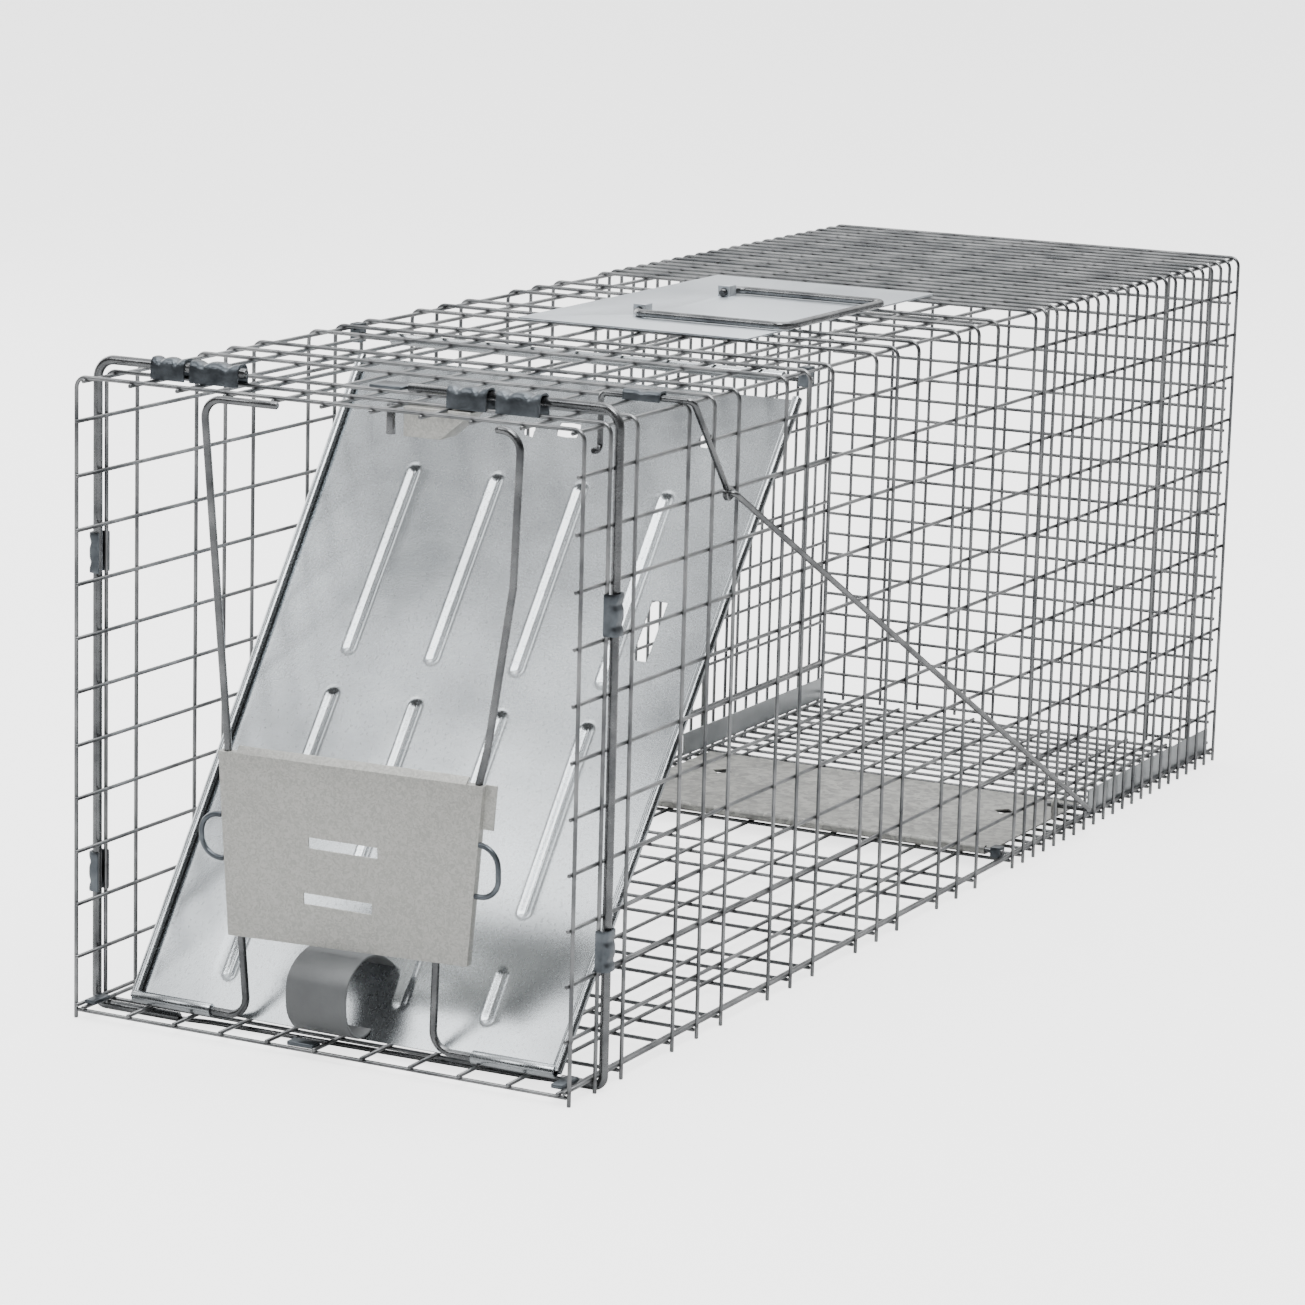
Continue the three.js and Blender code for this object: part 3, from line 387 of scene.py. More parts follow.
def spangle_group() -> Tree:
    """Zinc crystals: each cell of a cell pattern has its own tone, blurred by a little noise."""
    g = node_group("zinc_spangle", {"Scale": 160.0}, ["Cell"])
    given, out = g.nodes["in"], g.nodes["out"]
    place = g.nodes.new("ShaderNodeTexCoord").outputs["Object"]
    bend = noise(g, place, 2.0, CELL_BEND_SCALE)
    shift = g.nodes.new("ShaderNodeVectorMath")
    shift.operation = "MULTIPLY_ADD"
    shift.inputs[1].default_value = CELL_BEND
    g.links.new(bend.outputs["Color"], shift.inputs[0])
    g.links.new(place, shift.inputs[2])
    cells = g.nodes.new("ShaderNodeTexVoronoi")
    g.links.new(shift.outputs["Vector"], cells.inputs["Vector"])
    g.links.new(given.outputs["Scale"], cells.inputs["Scale"])
    tone = g.nodes.new("ShaderNodeSeparateColor")
    g.links.new(cells.outputs["Color"], tone.inputs["Color"])
    g.links.new(tone.outputs["Red"], out.inputs["Cell"])
    return g


@dataclass(frozen=True)
class Finish:
    """A metal finish: two colours that a pattern mixes, and a band of roughness."""

    slot: str
    light: Triple
    dark: Triple
    rough: Pair
    metallic: float = 0.9
    pattern: Pattern = Pattern.MOTTLE
    scale: float = 60.0
    bump: float = 0.15
    # share of painted shade mixed in at the welds
    weld: float = 0.0

    def make(self, name: str, groups: dict[Pattern, Tree]) -> bpy.types.Material:
        """Builds the material.

        Args:
            name: the material's name.
            groups: the shared pattern groups.

        Returns:
            The material.
        """
        material = bpy.data.materials.new(name)
        material.use_nodes = True
        tree = material.node_tree
        shader = tree.nodes["Principled BSDF"]
        shader.inputs["Metallic"].default_value = self.metallic
        cloud = tree.nodes.new("ShaderNodeGroup")
        cloud.node_tree = groups[Pattern.MOTTLE]
        cloud.inputs["Scale"].default_value = self.scale
        mask, height = cloud.outputs["Cloud"], cloud.outputs["Grain"]
        if self.pattern is Pattern.SPANGLE:
            cells = tree.nodes.new("ShaderNodeGroup")
            cells.node_tree = groups[Pattern.SPANGLE]
            cells.inputs["Scale"].default_value = self.scale * CELLS_PER_CLOUD
            mask = self.blend(tree, mask, cells.outputs["Cell"], CELL_SHARE)
        mix = tree.nodes.new("ShaderNodeMix")
        mix.data_type = "RGBA"
        mix.inputs[6].default_value = (*self.dark, 1)
        mix.inputs[7].default_value = (*self.light, 1)
        tree.links.new(remap(tree, mask, CLOUD_BAND), mix.inputs["Factor"])
        colour = mix.outputs[2]
        # painted shade at the welds, where the wires cross
        if self.weld:
            colour = self.darken_welds(tree, colour)
        tree.links.new(colour, shader.inputs["Base Color"])
        worn = self.blend(tree, mask, cloud.outputs["Scratch"], SCRATCH_SHARE)
        tree.links.new(remap(tree, worn, target=self.rough), shader.inputs["Roughness"])
        bump = tree.nodes.new("ShaderNodeBump")
        bump.inputs["Strength"].default_value = self.bump
        bump.inputs["Distance"].default_value = BUMP_DISTANCE
        tree.links.new(height, bump.inputs["Height"])
        tree.links.new(bump.outputs["Normal"], shader.inputs["Normal"])
        return material

    @staticmethod
    def blend(tree: Tree, one: Socket, two: Socket,
              share: float) -> Socket:
        """Returns one and two mixed, with the given share of two."""
        mix = tree.nodes.new("ShaderNodeMix")
        mix.inputs["Factor"].default_value = share
        tree.links.new(one, mix.inputs[2])
        tree.links.new(two, mix.inputs[3])
        return mix.outputs[0]

    def darken_welds(self, tree: Tree, colour: Socket) -> Socket:
        """Returns the colour, darkened with painted shade where the piece's weld mask is high, at the wire crossings.
        """
        mask = tree.nodes.new("ShaderNodeAttribute")
        mask.attribute_name = "weld"
        part = tree.nodes.new("ShaderNodeMath")
        part.operation = "MULTIPLY"
        part.inputs[1].default_value = self.weld
        tree.links.new(mask.outputs["Fac"], part.inputs[0])
        mix = tree.nodes.new("ShaderNodeMix")
        mix.data_type = "RGBA"
        mix.inputs[7].default_value = PAINTED_WELD_SHADE
        tree.links.new(part.outputs["Value"], mix.inputs["Factor"])
        tree.links.new(colour, mix.inputs[6])
        return mix.outputs[2]


FINISHES = {
    # zinc_wire paints shade at its welds, where the wires cross
    "zinc_wire": Finish("mesh_wire", (0.30, 0.305, 0.31), (0.10, 0.105, 0.11), (0.24, 0.42), scale=45, weld=0.8),
    "bright_sheet": Finish("bright_sheet", (0.50, 0.53, 0.55), (0.24, 0.255, 0.265), (0.2, 0.36), 0.95, scale=11,
                           bump=0.06),
    "plate_sheet": Finish("bright_sheet", (0.66, 0.70, 0.735), (0.55, 0.59, 0.63), (0.3, 0.5), scale=12, bump=0.05),
    "spangled_sheet": Finish("spangled_sheet", (0.50, 0.50, 0.475), (0.38, 0.38, 0.36), (0.42, 0.66), 0.6,
                             Pattern.SPANGLE, 380, 0.4),
    "pan_sheet": Finish("spangled_sheet", (0.40, 0.40, 0.375), (0.25, 0.25, 0.24), (0.4, 0.65), 0.6,
                        Pattern.SPANGLE, 110, 0.2),
    "dull_sheet": Finish("dull_sheet", (0.17, 0.178, 0.182), (0.12, 0.126, 0.13), (0.5, 0.65), 0.35, scale=30),
    "strip_sheet": Finish("dull_sheet", (0.50, 0.52, 0.53), (0.34, 0.36, 0.37), (0.35, 0.55), 0.8, scale=30),
    "clip_steel": Finish("clip_steel", (0.15, 0.168, 0.185), (0.045, 0.052, 0.06), (0.26, 0.46), 0.85, scale=90,
                         bump=0.3),
    "rod_steel": Finish("rod_steel", (0.2, 0.205, 0.21), (0.075, 0.078, 0.082), (0.2, 0.36), scale=70),
}


@dataclass
class Workshop:
    """Makes pieces and dresses them; it holds each finish's material."""

    materials: dict[str, bpy.types.Material] = field(default_factory=dict)

    def __post_init__(self) -> None:
        """Builds the shared groups and every finish."""
        groups = {Pattern.MOTTLE: mottle_group(), Pattern.SPANGLE: spangle_group()}
        self.materials = {name: finish.make(name, groups) for name, finish in FINISHES.items()}

    def piece(self, name: str, shape: Shape, finish: str, body: Body, stands_for: tuple[str, ...] = (),
              smooth_deg: float = 40.0) -> bpy.types.Object:
        """Turns a shape into a piece that rides on a body.

        Args:
            name: the piece's name.
            shape: points in millimetres and faces.
            finish: a key of FINISHES.
            body: what it moves with.
            stands_for: CAD nodes that it replaces.
            smooth_deg: edges flatter than this are shaded smooth.

        Returns:
            The new object.
        """
        mesh = bpy.data.meshes.new(name)
        points = (shape.points + [CENTRE_X, FRONT_Y, 0]) * MM
        sizes = np.concatenate([np.full(len(shape.quads), 4), np.full(len(shape.tris), 3)])
        corners = np.concatenate([shape.quads.ravel(), shape.tris.ravel()]).astype(np.int32)
        mesh.vertices.add(len(points))
        mesh.vertices.foreach_set("co", points.astype(np.float32).ravel())
        mesh.loops.add(len(corners))
        mesh.loops.foreach_set("vertex_index", corners)
        mesh.polygons.add(len(sizes))
        mesh.polygons.foreach_set("loop_start", np.concatenate([[0], np.cumsum(sizes)[:-1]]).astype(np.int32))
        mesh.polygons.foreach_set("use_smooth", np.ones(len(sizes), bool))
        mesh.update(calc_edges=True)
        mesh.validate()
        mesh.set_sharp_from_angle(angle=math.radians(smooth_deg))
        if shape.weld is not None:
            mask = mesh.attributes.new("weld", "FLOAT", "POINT")
            mask.data.foreach_set("value", shape.weld.astype(np.float32))
        return self.adopt(mesh, finish, body, stands_for)

    def adopt(self, mesh: bpy.types.Mesh, finish: str, body: Body, stands_for: tuple[str, ...]) -> bpy.types.Object:
        """Puts a finished mesh in the scene, under the mesh's own name.

        Args:
            mesh: the mesh, in metres.
            finish: a key of FINISHES.
            body: what it moves with.
            stands_for: CAD nodes that it replaces.

        Returns:
            The new object.
        """
        thing = bpy.data.objects.new(mesh.name, mesh)
        bpy.context.scene.collection.objects.link(thing)
        mesh.materials.append(self.materials[finish])
        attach(thing, body.value)
        if stands_for:
            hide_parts(*stands_for)
        log.info("%s: %d faces on %s", mesh.name, len(mesh.polygons), body.value)
        return thing

    def soften(self, nodes: list[str], finish: str, body: Body, width: float = 0.22) -> None:
        """Replaces packed sheet parts with copies whose edges are slightly rounded.

        Args:
            nodes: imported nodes.
            finish: a key of FINISHES.
            body: what they move with.
            width: width of the rounding.
        """
        for name in nodes:
            mesh = bpy.data.meshes.new(f"soft_{name}")
            form = bmesh.new()
            form.from_mesh(bpy.data.objects[name].data)
            bmesh.ops.remove_doubles(form, verts=form.verts, dist=1e-6)
            bmesh.ops.dissolve_limit(form, angle_limit=0.01, verts=form.verts, edges=form.edges)
            sharp = [edge for edge in form.edges if edge.is_manifold and edge.calc_face_angle() > math.radians(40)]
            bmesh.ops.bevel(form, geom=sharp, offset=width * MM, segments=2, affect="EDGES", profile=0.5,
                            clamp_overlap=True)
            bmesh.ops.triangulate(form, faces=form.faces)
            form.to_mesh(mesh)
            form.free()
            mesh.shade_smooth()
            mesh.set_sharp_from_angle(angle=math.radians(35))
            self.adopt(mesh, finish, body, (name,))


# ---- cage --------------------------------------------------------------------


@dataclass
class WeldedCage:
    """The welded wire body: hoops over the top and sides, long wires inside them, a floor and a rear end."""

    corner_bend: float = 5.0
    front_inches: tuple[int, ...] = (0, 1, 2, 4, 5, 6, 8, 9, 10, 12, 13, 14, 16, 17, 18, 20)
    rear_steps: int = 21
    row_first: float = 284.1
    rows: int = 11
    seam_height: float = 6.6
    floor_height: float = 5.7
    weld_reach: float = 1.7
    overhang: float = 1.2
    rear_clearance: float = 1.3
    rear_margins: Pair = (4.0, 2.0)

    @property
    def wall_x(self) -> float:
        """Distance from the middle to a hoop's upright."""
        return CAGE_WIDTH / 2 - WIRE_RADIUS

    @property
    def hoop_z(self) -> float:
        """Height of the hoops' top runs."""
        return CAGE_HEIGHT - WIRE_RADIUS

    def hoop_places(self) -> np.ndarray:
        """Returns D of every hoop: whole inches to the front, then close even steps to the rear."""
        front = np.array(self.front_inches) * INCH
        front[0] = WIRE_RADIUS
        rear = np.linspace(front[-1], CAGE_LENGTH - WIRE_RADIUS, self.rear_steps + 1)[1:]
        return np.concatenate([front, rear])

    def long_places(self) -> np.ndarray:
        """Returns X of the top's and the floor's long wires."""
        return np.arange(-5, 6) * INCH

    def row_places(self) -> np.ndarray:
        """Returns Z of the walls' long wires, with the seam wire last."""
        return np.append(self.row_first - INCH * np.arange(self.rows), self.seam_height)

    def marked(self, low: float, high: float, welds: np.ndarray) -> tuple[np.ndarray, np.ndarray]:
        """Stations along a straight run, with three at each weld.

        Args:
            low: where the run starts.
            high: where it ends.
            welds: where it crosses other wires.

        Returns:
            The stations in order, and their weld mask: 1 on a weld and 0 beside it.
        """
        inside = welds[(welds > low + 2 * self.weld_reach) & (welds < high - 2 * self.weld_reach)]
        parts = [inside - self.weld_reach, inside, inside + self.weld_reach, [low, high]]
        masks = [np.zeros(len(inside)), np.ones(len(inside)), np.zeros(len(inside)), [0, 0]]
        places, mask = np.concatenate(parts), np.concatenate(masks)
        order = np.argsort(places, kind="stable")
        return places[order], mask[order]

    def hoops(self) -> Shape:
        """Arches of one wire: up the left side, over the top and down the right side."""
        bend = self.corner_bend
        up, up_mask = self.marked(0, self.hoop_z - bend, self.row_places())
        over, over_mask = self.marked(-self.wall_x + bend, self.wall_x - bend, self.long_places())
        t = np.linspace(0, np.pi / 2, 7)[1:-1]
        turn_x = -self.wall_x + bend * (1 - np.cos(t))
        turn_z = self.hoop_z - bend * (1 - np.sin(t))
        wall = np.full(len(up), self.wall_x)
        x = np.concatenate([-wall, turn_x, over, -turn_x[::-1], wall])
        z = np.concatenate([up, turn_z, np.full(len(over), self.hoop_z), turn_z[::-1], up[::-1]])
        none = np.zeros(len(t))
        mask = np.concatenate([up_mask, none, over_mask, none, up_mask[::-1]])
        return tubes(spread(x, self.hoop_places()[:, None], z), WIRE_RADIUS, WIRE_SIDES, mask)

    def long_wires(self, ends: list[Pair]) -> Shape:
        """Straight wires from front to rear.

        Args:
            ends: (x, z) of each wire.

        Returns:
            The wires.
        """
        run, mask = self.marked(-self.overhang, CAGE_LENGTH, self.hoop_places())
        spots = np.array(ends)
        return tubes(spread(spots[:, :1], run, spots[:, 1:]), WIRE_RADIUS, WIRE_SIDES, mask)

    def cross_wires(self) -> Shape:
        """The floor's wires from side to side, under its long wires."""
        reach = self.wall_x - self.overhang
        run, mask = self.marked(-reach, reach, self.long_places())
        paths = spread(run, self.hoop_places()[:, None], self.floor_height - LAYER)
        return tubes(paths, WIRE_RADIUS, WIRE_SIDES, mask)

    def rear(self) -> Shape:
        """The rear end: uprights outside, level wires every half inch inside them."""
        side = self.wall_x - LAYER - self.rear_clearance
        low, high = self.floor_height + self.overhang, self.hoop_z - LAYER - self.overhang
        columns = np.arange(-4.5, 5) * INCH
        levels = np.arange(low + self.rear_margins[0], high - self.rear_margins[1], INCH / 2)
        up, up_mask = self.marked(low, high, levels)
        over, over_mask = self.marked(-side, side, columns)
        outside = CAGE_LENGTH - WIRE_RADIUS
        uprights = tubes(spread(columns[:, None], outside, up), WIRE_RADIUS, WIRE_SIDES, up_mask)
        crossbars = tubes(spread(over, outside - LAYER, levels[:, None]), WIRE_RADIUS, WIRE_SIDES, over_mask)
        return join([uprights, crossbars])

    def build(self, shop: Workshop) -> None:
        """Makes the cage's wire pieces."""
        inner_x = self.wall_x - LAYER
        top = [(x, self.hoop_z - LAYER) for x in self.long_places()]
        sides = [(side * inner_x, z) for side in (-1, 1) for z in self.row_places()]
        shell = join([self.hoops(), self.long_wires(top + sides)])
        shop.piece("cage_wires", shell, "zinc_wire", Body.CAGE, ("top_mesh", "left_wall_mesh", "right_wall_mesh"), 60)
        floor = [(x, self.floor_height) for x in self.long_places()]
        base = join([self.cross_wires(), self.long_wires(floor)])
        shop.piece("floor_wires", base, "zinc_wire", Body.CAGE, ("floor_mesh",), 60)
        shop.piece("rear_wires", self.rear(), "zinc_wire", Body.CAGE, ("rear_wall_mesh",), 60)
        shop.soften(["seam_strip_left", "seam_strip_right"], "strip_sheet", Body.CAGE)


@dataclass
class FrontFrame:
    """Two bent rods round the mouth, and the crimped clips that hold them."""

    radius: float = 2.2
    side_x: float = 133.8
    top_z: float = 310.5
    lift: float = 4.1
    left_d: float = 21.2
    right_d: float = 30.0
    hoop_d: float = 25.4
    left_ends: Pair = (-53.0, -87.0)
    right_ends: Pair = (27.0, 112.0)
    bends: Pair = (9.0, 5.0)
    clip_t: float = 0.9
    clip_play: float = 0.3
    clip_rise: float = 0.9
    top_seat: float = 304.0
    wall_seat: float = 131.4
    crimp_width: float = 0.09
    crimp_depth: float = 0.16
    sill: tuple[Triple, ...] = (
        (-86.8, 21.2, 1.5), (-70, 23.5, 1.5), (95, 28, 1.5), (111.5, 30.0, 1.5))
    sill_bend: float = 9.0
    sill_radius: float = 1.2

    def rod(self, side: int, d: float, top_end: float, foot_end: float) -> Shape:
        """One rod: in over the top, down the side and in again under the floor."""
        x = side * self.side_x
        path = [(top_end, d, self.top_z), (x, d, self.top_z), (x, d, self.radius), (foot_end, d, self.radius)]
        return tubes(bent(path, self.bends), self.radius, ROD_SIDES)

    def clip(self, span: float, rise: float, length: float, crimps: int = 2) -> Shape:
        """A crimped arch: half a rounded box in section, its height dented along its length.

        The section is (span |cos a|^0.5, rise |sin a|^0.5), a super-ellipse, and each crimp lowers it by a bell.

        Args:
            span: half of the inner width.
            rise: inner height.
            length: length along the rod.
            crimps: number of dents.

        Returns:
            The arch, with its length along X, its width along Y and its seat at Z = 0.
        """
        a = np.linspace(0, np.pi, 17)
        t = np.linspace(0, 1, 25)
        dents = (np.arange(crimps) + 0.5) / crimps
        dip = np.exp(-(((t[:, None] - dents) / self.crimp_width) ** 2)).sum(1) * self.crimp_depth * rise
        lip = 1 - 0.5 * np.clip(np.abs(t - 0.5) * 2 - 0.9, 0, 1)

        def skin(grow: float) -> np.ndarray:
            """Returns one skin of the arch, grown outwards."""
            y = (span + grow) * np.sign(np.cos(a)) * np.abs(np.cos(a)) ** 0.5
            z = (rise + grow - dip[:, None]) * np.abs(np.sin(a)) ** 0.5
            return np.stack(np.broadcast_arrays(t[:, None] * length, y * lip[:, None], z), -1)

        outer, inner = skin(self.clip_t), skin(0.0)
        loops = np.concatenate([outer, inner[:, ::-1]], 1)
        rows, n = loops.shape[:2]
        k = np.arange(len(a) - 1)
        cap = np.stack([k, k + 1, n - 2 - k, n - 1 - k], -1)
        quads = np.concatenate([ring_quads(rows, n)[:, ::-1], cap, cap[:, ::-1] + (rows - 1) * n])
        return Shape(loops.reshape(-1, 3), quads)

    def clips(self) -> dict[str, tuple[float, str, float, float]]:
        """Returns each clip's rod D, face, start and end."""
        made = {
            "frame_clip_top_1": (self.left_d, "top", -103.0, -85.0),
            "frame_clip_top_2": (self.left_d, "top", -82.0, -56.0),
            "frame_clip_top_3": (self.right_d, "top", 50.0, 70.0),
            "frame_clip_top_4": (self.right_d, "top", 75.0, 97.0),
        }
        for side, d in (("left", self.left_d), ("right", self.right_d)):
            made[f"frame_clip_{side}_1"] = (d, side, 210.0, 229.0)
            made[f"frame_clip_{side}_2"] = (d, side, 57.0, 76.0)
        return made

    def seated(self, rod_d: float, face: str, low: float, high: float) -> Shape:
        """A clip over its rod and the hoop beside it, turned to the top or to a wall."""
        near = min(rod_d - self.radius, self.hoop_d - WIRE_RADIUS) - self.clip_play
        far = max(rod_d + self.radius, self.hoop_d + WIRE_RADIUS) + self.clip_play
        rise = 2 * self.radius + self.clip_rise + (self.lift if face == "top" else 0)
        shape = self.clip((far - near) / 2, rise, high - low)
        x, y, z = shape.points.T
        middle = (near + far) / 2
        if face == "top":
            shape.points = np.stack([low + x, middle + y, self.top_seat + z], -1)
        else:
            side = 1 if face == "right" else -1
            shape.points = np.stack([side * (self.wall_seat + z), middle + y, low + x], -1)
            if side > 0:
                shape.quads = shape.quads[:, ::-1]
        return shape

    def build(self, shop: Workshop) -> None:
        """Makes the rods and clips, and dresses the small parts."""
        left = self.rod(-1, self.left_d, *self.left_ends)
        right = self.rod(1, self.right_d, *self.right_ends)
        sill = tubes(bent(list(self.sill), self.sill_bend), self.sill_radius, 14)
        shop.piece("sill_wire", sill, "rod_steel", Body.CAGE)
        shop.piece("mouth_rod_left", left, "rod_steel", Body.CAGE, ("frame_rod_left",))
        shop.piece("mouth_rod_right", right, "rod_steel", Body.CAGE, ("frame_rod_right",))
        for name, (d, face, low, high) in self.clips().items():
            shop.piece(f"crimped_{name}", self.seated(d, face, low, high), "clip_steel", Body.CAGE, (name,), 55)
        small = ["frame_rod_tab", "seam_clip_left", "seam_clip_centre", "seam_clip_right"]
        shop.soften(small, "clip_steel", Body.CAGE, 0.5)
        shop.soften(["stop_bracket"], "spangled_sheet", Body.CAGE, 0.4)
        shop.soften(["stop_pin"], "rod_steel", Body.CAGE, 0.4)


# ---- door --------------------------------------------------------------------


@dataclass
class Door:
    """The sloping sheet door with pressed beads, rolled sides, hem tubes at its foot and a barrel at its head."""

    foot: Pair = (16.0, 10.1)
    hinge: Pair = (239.0, 298.7)
    centre_x: float = 4.0
    foot_half: float = 113.0
    head_half: float = 121.0
    thick: float = 0.9
    tube_outer: float = 3.1
    tube_inner: float = 2.1
    tube_length: float = 43.0
    head_inset: float = 12.0
    barrel: Pair = (2.9, 1.9)
    pin_half: float = 128.5
    pin_radius: float = 1.6
    curl: float = 2.1
    curl_turn: float = 1.45
    bead_pitch: float = 46.4
    bead_half: float = 4.6
    bead_depth: float = 1.7
    bead_columns: tuple[float, ...] = (-1.5, -0.5, 0.5, 1.5)
    bead_rows: tuple[Pair, ...] = ((16, 47), (69.5, 173), (190, 297))
    slot_x: float = 84.0
    slot_half: float = 4.5
    slot_reach: Pair = (126.0, 158.0)
    holes: tuple[Triple, ...] = ((-13.5, 322, 4.2), (6, 324, 4.2), (80, 326, 4.2))
    pull_x: Pair = (-14.0, 18.0)
    pull_thick: float = 1.2
    pull_knots: tuple[Pair, ...] = (
        (38.3, 0), (38.2, 4), (37, 12.7), (33.2, 21.9), (28, 27.9), (19.8, 32.6), (12, 33.4), (5.4, 30.1),
        (-1.2, 23.9), (-4.1, 16.2), (-3.6, 8.9), (0.5, 2.6), (4.5, 0))

    def __post_init__(self) -> None:
        """Works out the door's own axes from its foot and its hinge."""
        self.hem_out = self.thick / 2 + self.tube_outer - 0.8
        run, rise = self.hinge[0] - self.foot[0], self.hinge[1] - self.foot[1]
        self.length = math.sqrt(run**2 + rise**2 - self.hem_out**2)
        self.slope = math.atan2(rise, run) + math.atan2(self.hem_out, self.length)

    def settle(self, shape: Shape) -> Shape:
        """Moves a shape from the door's axes (across, up the slope, out of the face) into the trap's."""
        x, s, n = shape.points.T
        c, k = math.cos(self.slope), math.sin(self.slope)
        out = n - self.hem_out
        d, z = self.foot[0] + s * c - out * k, self.foot[1] + s * k + out * c
        shape.points = np.stack([x + self.centre_x, d, z], -1)
        return shape

    def beads(self, x: np.ndarray, s: np.ndarray) -> np.ndarray:
        """Depth of the pressed beads: a raised cosine of the distance to each bead's middle line."""
        depth = np.zeros(np.broadcast(x, s).shape)
        for column in self.bead_columns:
            for low, high in self.bead_rows:
                beyond = np.maximum(np.maximum(low + self.bead_half - s, s - high + self.bead_half), 0)
                away = np.clip(np.hypot(x - column * self.bead_pitch, beyond) / self.bead_half, 0, 1)
                depth -= self.bead_depth * (0.5 + 0.5 * np.cos(np.pi * away))
        return depth

    def sheet(self) -> Shape:
        """The sheet as two skins: a flat middle with beads, and a curl towards the front at each side.

        Across, a point is x = u half(s) on the flat and x = half + r sin a, n = r (1 - cos a) on the curl.
        """
        slot_s = (self.length - self.slot_reach[1], self.length - self.slot_reach[0])
        mean_half = (self.foot_half + self.head_half) / 2
        lines = [np.linspace(-1, 1, 41)]
        for column in self.bead_columns:
            lines.append((column * self.bead_pitch + np.linspace(-5, 5, 13)) / mean_half)
        lines.append((self.slot_x + np.array([-self.slot_half, self.slot_half])) / mean_half)
        u = np.unique(np.round(np.concatenate(lines), 5))
        u = u[np.concatenate([[True], np.diff(u) > 0.0015])]
        rows = [np.linspace(0, self.length - self.head_inset, 90), np.array(slot_s)]
        rows += [s + r * np.linspace(-2, 2, 17) for _, s, r in self.holes]
        for low, high in self.bead_rows:
            rows += [np.linspace(low - 1, low + 5, 7), np.linspace(high - 5, high + 1, 7)]
        s = np.unique(np.round(np.concatenate(rows), 3))
        s = s[np.concatenate([[True], np.diff(s) > 0.3])]
        half = self.foot_half + (self.head_half - self.foot_half) * s / self.length
        a = np.linspace(0, self.curl_turn * np.pi, 10)[1:]
        flat_x = u * half[:, None]
        lift = self.beads(flat_x, np.broadcast_to(s[:, None], flat_x.shape))
        curl_x, curl_n = self.curl * np.sin(a), self.curl * (1 - np.cos(a))
        right_x, left_x = half[:, None] + curl_x, -half[:, None] - curl_x[::-1]
        x = np.concatenate([left_x, flat_x, right_x], 1)
        n = np.concatenate([np.broadcast_to(curl_n[::-1], left_x.shape), lift,
                            np.broadcast_to(curl_n, right_x.shape)], 1)
        grid = np.stack([x, np.broadcast_to(s[:, None], x.shape), n], -1)
        middle_x = (x[1:, 1:] + x[:-1, :-1]) / 2
        middle_s = np.broadcast_to((s[1:] + s[:-1])[:, None] / 2, middle_x.shape)
        hole = (np.abs(middle_x - self.slot_x) < self.slot_half) & (middle_s > slot_s[0]) & (middle_s < slot_s[1])
        for cx, cs, r in self.holes:
            hole |= np.maximum(np.abs(middle_x - cx), np.abs(middle_s - cs)) < r
            grid[..., :2] = self.rounded(grid[..., :2], np.array([cx, cs]), r)
        return self.thicken(grid, ~hole)

    @staticmethod
    def rounded(places: np.ndarray, centre: np.ndarray, r: float) -> np.ndarray:
        """Pulls a square of half-side r about the centre into a circle; places over 2 r away stay.

        With m the larger and h the true distance, each place moves towards centre + (place - centre) m / h.
        """
        away = places - centre
        m = np.abs(away).max(-1, keepdims=True)
        h = np.maximum(np.linalg.norm(away, axis=-1, keepdims=True), 1e-9)
        share = np.clip(2 - m / r, 0, 1)
        return places + share * away * (m / h - 1)

    def thicken(self, grid: np.ndarray, kept: np.ndarray) -> Shape:
        """Two skins half a thickness to each side of a grid surface, with a rim round every open edge.

        Args:
            grid: points, shape (rows, columns, 3).
            kept: which cells are sheet, shape (rows - 1, columns - 1).

        Returns:
            The closed shape.
        """
        rows, columns = grid.shape[:2]
        normal = unit(np.cross(np.gradient(grid, axis=1), np.gradient(grid, axis=0)))
        front, back = grid + normal * self.thick / 2, grid - normal * self.thick / 2
        i, j = np.nonzero(kept)
        cell = np.stack([i * columns + j, i * columns + j + 1, (i + 1) * columns + j + 1, (i + 1) * columns + j], -1)
        edges = np.concatenate([cell[:, [k, (k + 1) % 4]] for k in range(4)])
        code = edges[:, 0].astype(np.int64) * rows * columns + edges[:, 1]
        other = edges[:, 1].astype(np.int64) * rows * columns + edges[:, 0]
        rim = edges[~np.isin(code, other)]
        far = rows * columns
        sides = np.stack([rim[:, 1], rim[:, 0], rim[:, 0] + far, rim[:, 1] + far], -1)
        points = np.concatenate([front.reshape(-1, 3), back.reshape(-1, 3)])
        return Shape(points, np.concatenate([cell, cell[:, ::-1] + far, sides]))

    def pull(self) -> Shape:
        """The curled grab strip, run across the door along a smooth line through its knots.

        Between knots b and c, with a before and d after, the line is the Catmull-Rom cubic
        (2b + (c - a) t + (2a - 5b + 4c - d) t^2 + (3b - a - 3c + d) t^3) / 2.
        """
        face = self.thick / 2 + 0.3
        knots = np.array(self.pull_knots)
        padded = np.concatenate([knots[:1], knots, knots[-1:]])
        a, b, c, d = (padded[k:len(padded) - 3 + k, None] for k in range(4))
        t = np.linspace(0, 1, 6, endpoint=False)[None, :, None]
        line = (2 * b + (c - a) * t + (2 * a - 5 * b + 4 * c - d) * t**2 + (3 * b - a - 3 * c + d) * t**3) / 2
        line = np.concatenate([line.reshape(-1, 2), knots[-1:]])
        tangent = unit(np.gradient(line, axis=0))
        inner = line + self.pull_thick * np.stack([-tangent[:, 1], tangent[:, 0]], -1)
        lift = np.array([0, face])
        line, inner = np.maximum(line, [-99, 0]) + lift, np.maximum(inner, [-99, 0]) + lift
        return slab(line, inner, self.pull_x[0] - self.centre_x, self.pull_x[1] - self.centre_x)

